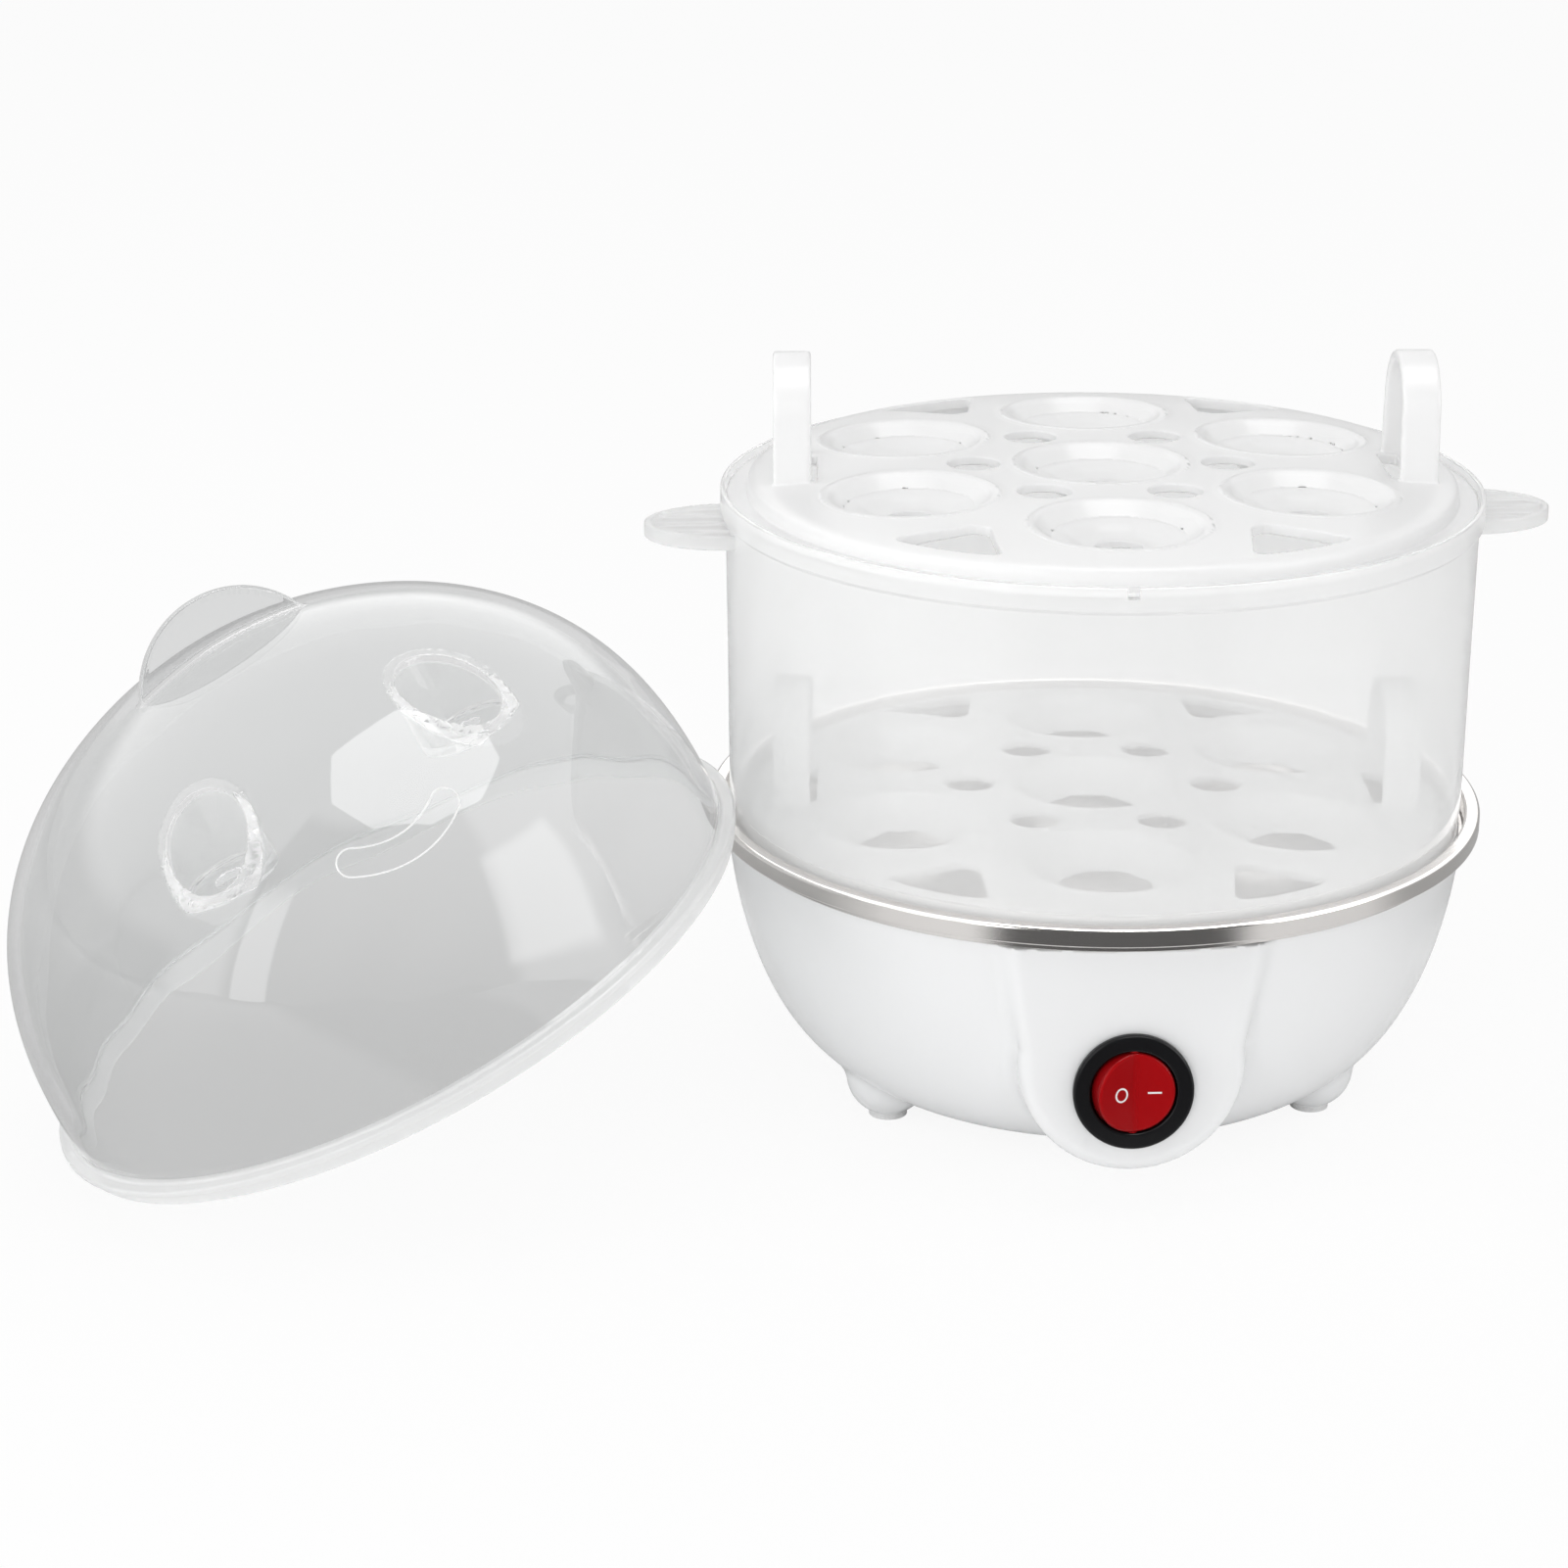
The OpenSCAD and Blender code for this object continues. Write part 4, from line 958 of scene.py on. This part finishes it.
def on_dome(az, up):
    """Point and outward direction on the dome, up millimetres above the plaque's middle line."""
    m = np.array(mer)
    arc = np.concatenate([[0], np.cumsum(np.hypot(*np.diff(m, axis=0).T))])
    s0 = np.interp(45.35, m[:, 1], arc)
    r, z = np.interp(s0 + up, arc, m[:, 0]), np.interp(s0 + up, arc, m[:, 1])
    r2, z2 = np.interp(s0 + up + 1, arc, m[:, 0]), np.interp(s0 + up + 1, arc, m[:, 1])
    k = math.hypot(r2 - r, z2 - z)
    nr, nz = (z2 - z) / k, -(r2 - r) / k
    return (r * math.cos(az), r * math.sin(az), z), (nr * math.cos(az), nr * math.sin(az), nz)


half, cap_r, rise, az_m = 10.6, 2.7, 2.9, math.radians(108.1)
ring = [(half * (1 - 2 * i / 24), cap_r) for i in range(25)]
ring += [(-half - cap_r * math.sin(math.pi * i / 16), cap_r * math.cos(math.pi * i / 16)) for i in range(1, 16)]
ring += [(-half * (1 - 2 * i / 24), -cap_r) for i in range(25)]
ring += [(half + cap_r * math.sin(math.pi * i / 16), -cap_r * math.cos(math.pi * i / 16)) for i in range(1, 16)]


def bent(s, t):
    """The plaque's outline curves upwards at both ends."""
    s0 = min(max(s, -half), half)
    a = math.atan(2 * rise * s0 / half ** 2)
    return s0 + (s - s0) * math.cos(a) - t * math.sin(a), rise * (s0 / half) ** 2 + (s - s0) * math.sin(a) + t * math.cos(a)


ring = [bent(*q) for q in ring]
plaque = bead_line("lid_plaque_v", [on_dome(az_m + q[0] / 63.4, q[1]) for q in ring], 0.17, AT_LID)
dress(plaque, "lid_line")
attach(plaque, "lid")
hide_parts("lid")
dress(lid, "lid")
# the rim and the wells are thicker and milkier than the dome, with a stronger painted glow
lid.data.materials.append(M["lid_thick"])
lid.data.materials.append(M["lid_well"])
cen = np.zeros(len(lid.data.polygons) * 3)
lid.data.polygons.foreach_get("center", cen)
back = np.array(AT_LID.inverted(), float)
cen = cen.reshape(-1, 3) * 1000 @ back[:3, :3].T + back[:3, 3]
thick = (cen[:, 2] < 4.6).astype(np.int32)
for a in (75, 138):
    wx, wy = turn(cen[:, 0], cen[:, 1], a)
    w = np.hypot(wx - 50.3, wy)
    thick[(w > 7.4) & (w < 9.9) & (cen[:, 2] > 44)] = 2
lid.data.polygons.foreach_set("material_index", thick)
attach(lid, "lid")
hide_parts("lid")

# --------------------------------------------------------------------------
# Switch: round bezel and rocker
# --------------------------------------------------------------------------
def bezel_field(x, y, z):
    r = np.sqrt(x * x + y * y)
    ring = inter_r(r - 11.5, np.maximum(z - 2.0, -z), 0.7)
    body = np.maximum(r - 10.0, np.maximum(z - 1.0, -18 - z))
    d = np.minimum(ring, body)
    d = cut_r(d, np.maximum(r - 8.25, -6.8 - z), 0.45)
    d = np.maximum(d, -np.maximum(r - 7.6, np.maximum(-16.4 - z, z + 8.0)))
    return d


bez = field_mesh("switch_body_v", bezel_field, (-11.6, -11.6, -18.1), (11.6, 11.6, 2.1), 0.24, PANEL)
dress(bez, "bezel")
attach(bez, "base")
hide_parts("switch_body")

valley = Outline([v[:2] for v in rounded([(-9, -3.4, 0), (9, -3.4, 0), (9, 3.2, 0), (0, 1.4, 3.0), (-9, 3.2, 0)])], step=0.05)


def rocker_field(x, y, z):
    d = inter_r(np.sqrt(x * x + y * y + z * z) - 8.0, valley(x, z), 0.5)
    d = cut_r(d, box_d(x, y, z, (0, 0, -2.2), (5.6, 4, 1.8)), 0.2)
    pin = tube_d(np.sqrt(x * x + z * z), np.abs(y) - 8.3, 1.0, 1.3, 0.15)
    return np.minimum(d, pin)


ROCK = PANEL @ Matrix.Translation((0, 0, 0.5)) @ Matrix.Rotation(math.radians(11), 4, "Y")
rock = field_mesh("rocker_button_v", rocker_field, (-8.1, -9.7, -3.6), (8.1, 9.7, 3.4), 0.17, ROCK)
dress(rock, "rocker")
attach(rock, "rocker")
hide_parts("rocker_button")


def mark(name, ring, w, side):
    """A flat ink mark: a closed ring of centre points, w wide, laid on a rocker face."""
    n = len(ring)
    co, faces = [], []
    for i, (x, y) in enumerate(ring):
        x0, y0 = ring[i - 1]
        x1, y1 = ring[(i + 1) % n]
        dx, dy = x1 - x0, y1 - y0
        k = math.hypot(dx, dy)
        nx, ny = -dy / k * w / 2, dx / k * w / 2
        for s in (-1, 1):
            co.append((x + s * nx, y + s * ny))
    full = []
    for h in (0.03, 0.0):
        for x, y in co:
            full.append((x, y, 1.4 + 0.2 * abs(x) + h))
    m = len(co)
    for i in range(n):
        j = (i + 1) % n
        a, b, c, d = 2 * i, 2 * i + 1, 2 * j + 1, 2 * j
        faces += [[a, b, c, d], [a + m, d + m, c + m, b + m], [a, d, d + m, a + m], [b, b + m, c + m, c]]
    ob = put_mesh(name, full, faces, None, ROCK, smooth=False)
    dress(ob, "mark")
    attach(ob, "rocker")
    return ob


mark("mark_off_v", [(-2.9 + 1.15 * math.cos(t * math.pi / 20), 1.3 * math.sin(t * math.pi / 20)) for t in range(40)], 0.34, -1)
bar = [(2.2, -0.08), (4.4, -0.08), (4.4, 0.08), (2.2, 0.08)]


def bar_mark(name, x0, x1, w):
    co = []
    for h in (0.03, 0.0):
        for x, y in ((x0, -w / 2), (x1, -w / 2), (x1, w / 2), (x0, w / 2)):
            co.append((x, y, 1.4 + 0.2 * abs(x) + h))
    faces = [[0, 1, 2, 3], [7, 6, 5, 4], [0, 4, 5, 1], [1, 5, 6, 2], [2, 6, 7, 3], [3, 7, 4, 0]]
    ob = put_mesh(name, co, faces, None, ROCK, smooth=False)
    dress(ob, "mark")
    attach(ob, "rocker")


bar_mark("mark_on_v", 2.3, 4.9, 0.34)

# --------------------------------------------------------------------------
# The other CAD nodes keep their meshes and get their finish and softened edges
# --------------------------------------------------------------------------
LOOK = dict(foot_pads="rubber", bottom_cover="cover", cover_screws="zinc", cord_bushing="bushing", dish_stud="zinc", clamp_bar="zinc", clamp_nut="zinc", heat_spreader="alu", heating_element="element", element_terminals="ceramic", thermostat="phenolic", thermostat_bracket="zinc", bracket_screws="zinc", thermal_fuse="sleeve", fuse_clip="zinc", terminal_block="nylon", switch_terminals="brass", indicator_lamp="lamp", live_lead="wire_brown", neutral_lead="wire_blue", switched_lead="wire_black", fuse_lead="wire_white", earth_lead="wire_green", lamp_lead="wire_blue")
for n, k in LOOK.items():
    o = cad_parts[n]
    dress(o, k)
for n, w in dict(foot_pads=0.0003, bottom_cover=0.0003, cord_bushing=0.0005, cover_screws=0.00015, clamp_bar=0.0002, clamp_nut=0.0003, terminal_block=0.0003).items():
    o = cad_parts[n]
    b = o.modifiers.new("edge", "BEVEL")
    b.width, b.segments, b.limit_method, b.angle_limit = w, 3, "ANGLE", math.radians(40)
    b.use_clamp_overlap = True
    b.harden_normals = True

# --------------------------------------------------------------------------
# Floor, lights, world, camera
# --------------------------------------------------------------------------
fm = bpy.data.meshes.new("floor")
S = 3.0
fm.from_pydata([(-S, -S, 0), (S, -S, 0), (S, S, 0), (-S, S, 0)], [], [(0, 1, 2, 3)])
floor = bpy.data.objects.new("floor", fm)
bpy.context.scene.collection.objects.link(floor)
m, nt = new_mat("floor_pale")
dif = add(nt, "ShaderNodeBsdfDiffuse")
dif.inputs["Color"].default_value = (0.93, 0.93, 0.93, 1)
em = add(nt, "ShaderNodeEmission")
em.inputs["Color"].default_value = (1, 1, 1, 1)
lp = add(nt, "ShaderNodeLightPath")
fsep = add(nt, "ShaderNodeSeparateXYZ")
link(nt, add(nt, "ShaderNodeTexCoord").outputs["Object"], fsep.inputs[0])
behind = add(nt, "ShaderNodeMapRange", interpolation_type="SMOOTHSTEP")
behind.inputs["From Min"].default_value, behind.inputs["From Max"].default_value = -0.06, 0.26
behind.inputs["To Min"].default_value, behind.inputs["To Max"].default_value = 0.60, 0.80
link(nt, fsep.outputs[1], behind.inputs["Value"])
# painted shadow: seen directly the floor is white; seen through the clear parts it gets a darker emission, darkest near
# the object and paler behind it
link(nt, math_node(nt, "ADD", lp.outputs["Is Camera Ray"], math_node(nt, "MULTIPLY", math_node(nt, "SUBTRACT", 1.0, lp.outputs["Is Camera Ray"]), behind.outputs[0])), em.inputs["Strength"])
mx = add(nt, "ShaderNodeMixShader")
link(nt, math_node(nt, "MULTIPLY", math_node(nt, "MAXIMUM", lp.outputs["Is Camera Ray"], lp.outputs["Is Transmission Ray"]), 0.9), mx.inputs[0])
link(nt, dif.outputs[0], mx.inputs[1])
link(nt, em.outputs[0], mx.inputs[2])
# mirrored in the object, the floor is dark towards the camera and greyer at the sides
def smooth(v, a, b, lo, hi):
    mr = add(nt, "ShaderNodeMapRange", interpolation_type="SMOOTHSTEP")
    mr.inputs["From Min"].default_value, mr.inputs["From Max"].default_value = a, b
    mr.inputs["To Min"].default_value, mr.inputs["To Max"].default_value = lo, hi
    link(nt, v, mr.inputs["Value"])
    return mr.outputs[0]


fx, fy = fsep.outputs[0], fsep.outputs[1]
theta = math_node(nt, "ARCTAN2", math_node(nt, "ABSOLUTE", fx), math_node(nt, "MULTIPLY", fy, -1.0))
far = math_node(nt, "SQRT", math_node(nt, "ADD", math_node(nt, "MULTIPLY", fx, fx), math_node(nt, "MULTIPLY", fy, fy)))
sector = math_node(nt, "MAXIMUM", smooth(theta, math.radians(25), math.radians(35), 1.0, 0.0), smooth(theta, math.radians(64), math.radians(82), 0.0, 0.5))
gone = math_node(nt, "MULTIPLY", sector, smooth(far, 0.105, 0.15, 0.0, 1.0))
dark = add(nt, "ShaderNodeEmission")
dark.inputs["Strength"].default_value = 0.13
mx2 = add(nt, "ShaderNodeMixShader")
link(nt, math_node(nt, "MULTIPLY", gone, math_node(nt, "SUBTRACT", lp.outputs["Is Glossy Ray"], lp.outputs["Is Transmission Ray"])), mx2.inputs[0])
link(nt, mx.outputs[0], mx2.inputs[1])
link(nt, dark.outputs[0], mx2.inputs[2])
finish_mat(nt, mx2.outputs[0])
fm.materials.append(m)

def fill(name, at, to, size, watts):
    """A big soft lamp that lights surfaces but isn't mirrored in them."""
    ld = bpy.data.lights.new(name, "AREA")
    ld.shape, ld.size, ld.size_y, ld.energy = "RECTANGLE", size[0], size[1], watts
    ob = bpy.data.objects.new(name, ld)
    bpy.context.scene.collection.objects.link(ob)
    ob.matrix_world = Matrix.Translation(at) @ (Vector(to) - Vector(at)).to_track_quat("-Z", "Y").to_matrix().to_4x4()
    ob.visible_glossy = ob.visible_transmission = ob.visible_camera = False
    return ob


fill("fill_front", (-0.15, -1.3, 0.45), (0, 0, 0.07), (1.4, 0.9), 8.5)
fill("fill_left", (-1.3, -0.2, 0.5), (0, 0, 0.08), (0.9, 0.9), 7.0)
fill("fill_right", (1.3, -0.2, 0.5), (0, 0, 0.08), (0.9, 0.9), 1.5)

world = bpy.data.worlds.new("studio")
bpy.context.scene.world = world
world.use_nodes = True
nt = world.node_tree
nt.nodes.clear()
tc = add(nt, "ShaderNodeTexCoord")
sep = add(nt, "ShaderNodeSeparateXYZ")
link(nt, tc.outputs["Generated"], sep.inputs[0])
X, Y, Z = sep.outputs
AZ = math_node(nt, "MULTIPLY", math_node(nt, "ARCTAN2", Y, X), 57.29578)
EL = math_node(nt, "MULTIPLY", math_node(nt, "ARCSINE", Z), 57.29578)


def step(v, a, b):
    """0 below a, 1 above b (or the other way round), smooth between."""
    n = add(nt, "ShaderNodeMapRange", interpolation_type="SMOOTHSTEP")
    lo_, hi_ = min(a, b), max(a, b)
    n.inputs["From Min"].default_value = lo_
    n.inputs["From Max"].default_value = hi_
    n.inputs["To Min"].default_value = 0.0 if a < b else 1.0
    n.inputs["To Max"].default_value = 1.0 if a < b else 0.0
    link(nt, v, n.inputs["Value"])
    return n.outputs[0]


def times(*v):
    r = v[0]
    for w in v[1:]:
        r = math_node(nt, "MULTIPLY", r, w)
    return r


def plus(*v):
    r = v[0]
    for w in v[1:]:
        r = math_node(nt, "ADD", r, w)
    return r


# share of the room's light that falls on the object, and what shines in it on top
LIGHT, GLOSS = 0.40, 0.95

# pale room, with a dark side towards the camera
front = times(step(AZ, -136, -131), step(AZ, -38, -46), step(EL, 64, 57))
rear = times(math_node(nt, "SUBTRACT", 1.0, times(step(AZ, -158, -146), step(AZ, 2, -14))), step(EL, 18, 8))
room = plus(times(front, -1.25), times(rear, -0.98), 1.35)
# overhead eight-sided softbox
u = math_node(nt, "SUBTRACT", math_node(nt, "DIVIDE", X, math_node(nt, "MAXIMUM", Z, 0.05)), 0.16)
v = math_node(nt, "ADD", math_node(nt, "DIVIDE", Y, math_node(nt, "MAXIMUM", Z, 0.05)), 0.18)
au, av = math_node(nt, "ABSOLUTE", u), math_node(nt, "ABSOLUTE", v)
octd = math_node(nt, "MAXIMUM", math_node(nt, "MAXIMUM", au, av), times(plus(au, av), 0.7071))
octa = times(step(octd, 0.43, 0.41), step(Z, 0.2, 0.3))
# upright strip at the left front and a softbox at the right front
strip = times(step(AZ, -131.5, -130), step(AZ, -118, -119.5), step(EL, -6, -4), step(EL, 42, 30))
soft = times(step(AZ, -47, -43), step(AZ, -10, -16), step(EL, 2, 6), step(EL, 40, 35))
total = plus(room, times(octa, 3.2), times(strip, 2.2), times(soft, 2.0))
bg1 = add(nt, "ShaderNodeBackground")
lp = add(nt, "ShaderNodeLightPath")
link(nt, times(total, plus(times(lp.outputs["Is Glossy Ray"], GLOSS), LIGHT)), bg1.inputs["Strength"])
bg1.inputs["Color"].default_value = (1, 1, 1, 1)
# painted shade: the backdrop seen through the clear parts is dimmed to 0.9 of the white seen directly
bg2 = add(nt, "ShaderNodeBackground")
bg2.inputs["Color"].default_value = (1, 1, 1, 1)
lp = add(nt, "ShaderNodeLightPath")
link(nt, math_node(nt, "ADD", 0.9, math_node(nt, "MULTIPLY", lp.outputs["Is Camera Ray"], 0.1)), bg2.inputs["Strength"])
mx = add(nt, "ShaderNodeMixShader")
link(nt, math_node(nt, "MAXIMUM", lp.outputs["Is Camera Ray"], lp.outputs["Is Transmission Ray"]), mx.inputs[0])
link(nt, bg1.outputs[0], mx.inputs[1])
link(nt, bg2.outputs[0], mx.inputs[2])
wo = add(nt, "ShaderNodeOutputWorld")
link(nt, mx.outputs[0], wo.inputs["Surface"])

vs = bpy.context.scene.view_settings
vs.view_transform = "Standard"
vs.look = "None"

cam_data = bpy.data.cameras.new("camera")
cam = bpy.data.objects.new("camera", cam_data)
bpy.context.scene.collection.objects.link(cam)
cam.rotation_mode = "XYZ"
cam_data.sensor_width = 36
cam_data.sensor_fit = "HORIZONTAL"
cam_data.lens = 78.82
cam_data.shift_x, cam_data.shift_y = -0.0149, -0.0012
mw = Matrix.Translation((-0.0819, -0.6639, 0.29855)) @ Matrix.Rotation(math.radians(-2), 4, "Z") @ Matrix.Rotation(math.radians(70.477), 4, "X") @ Matrix.Rotation(math.radians(-0.17), 4, "Z")
cam.matrix_world = mw
cam_data.clip_start, cam_data.clip_end = 0.01, 20
bpy.context.scene.camera = cam

bpy.context.view_layer.update()
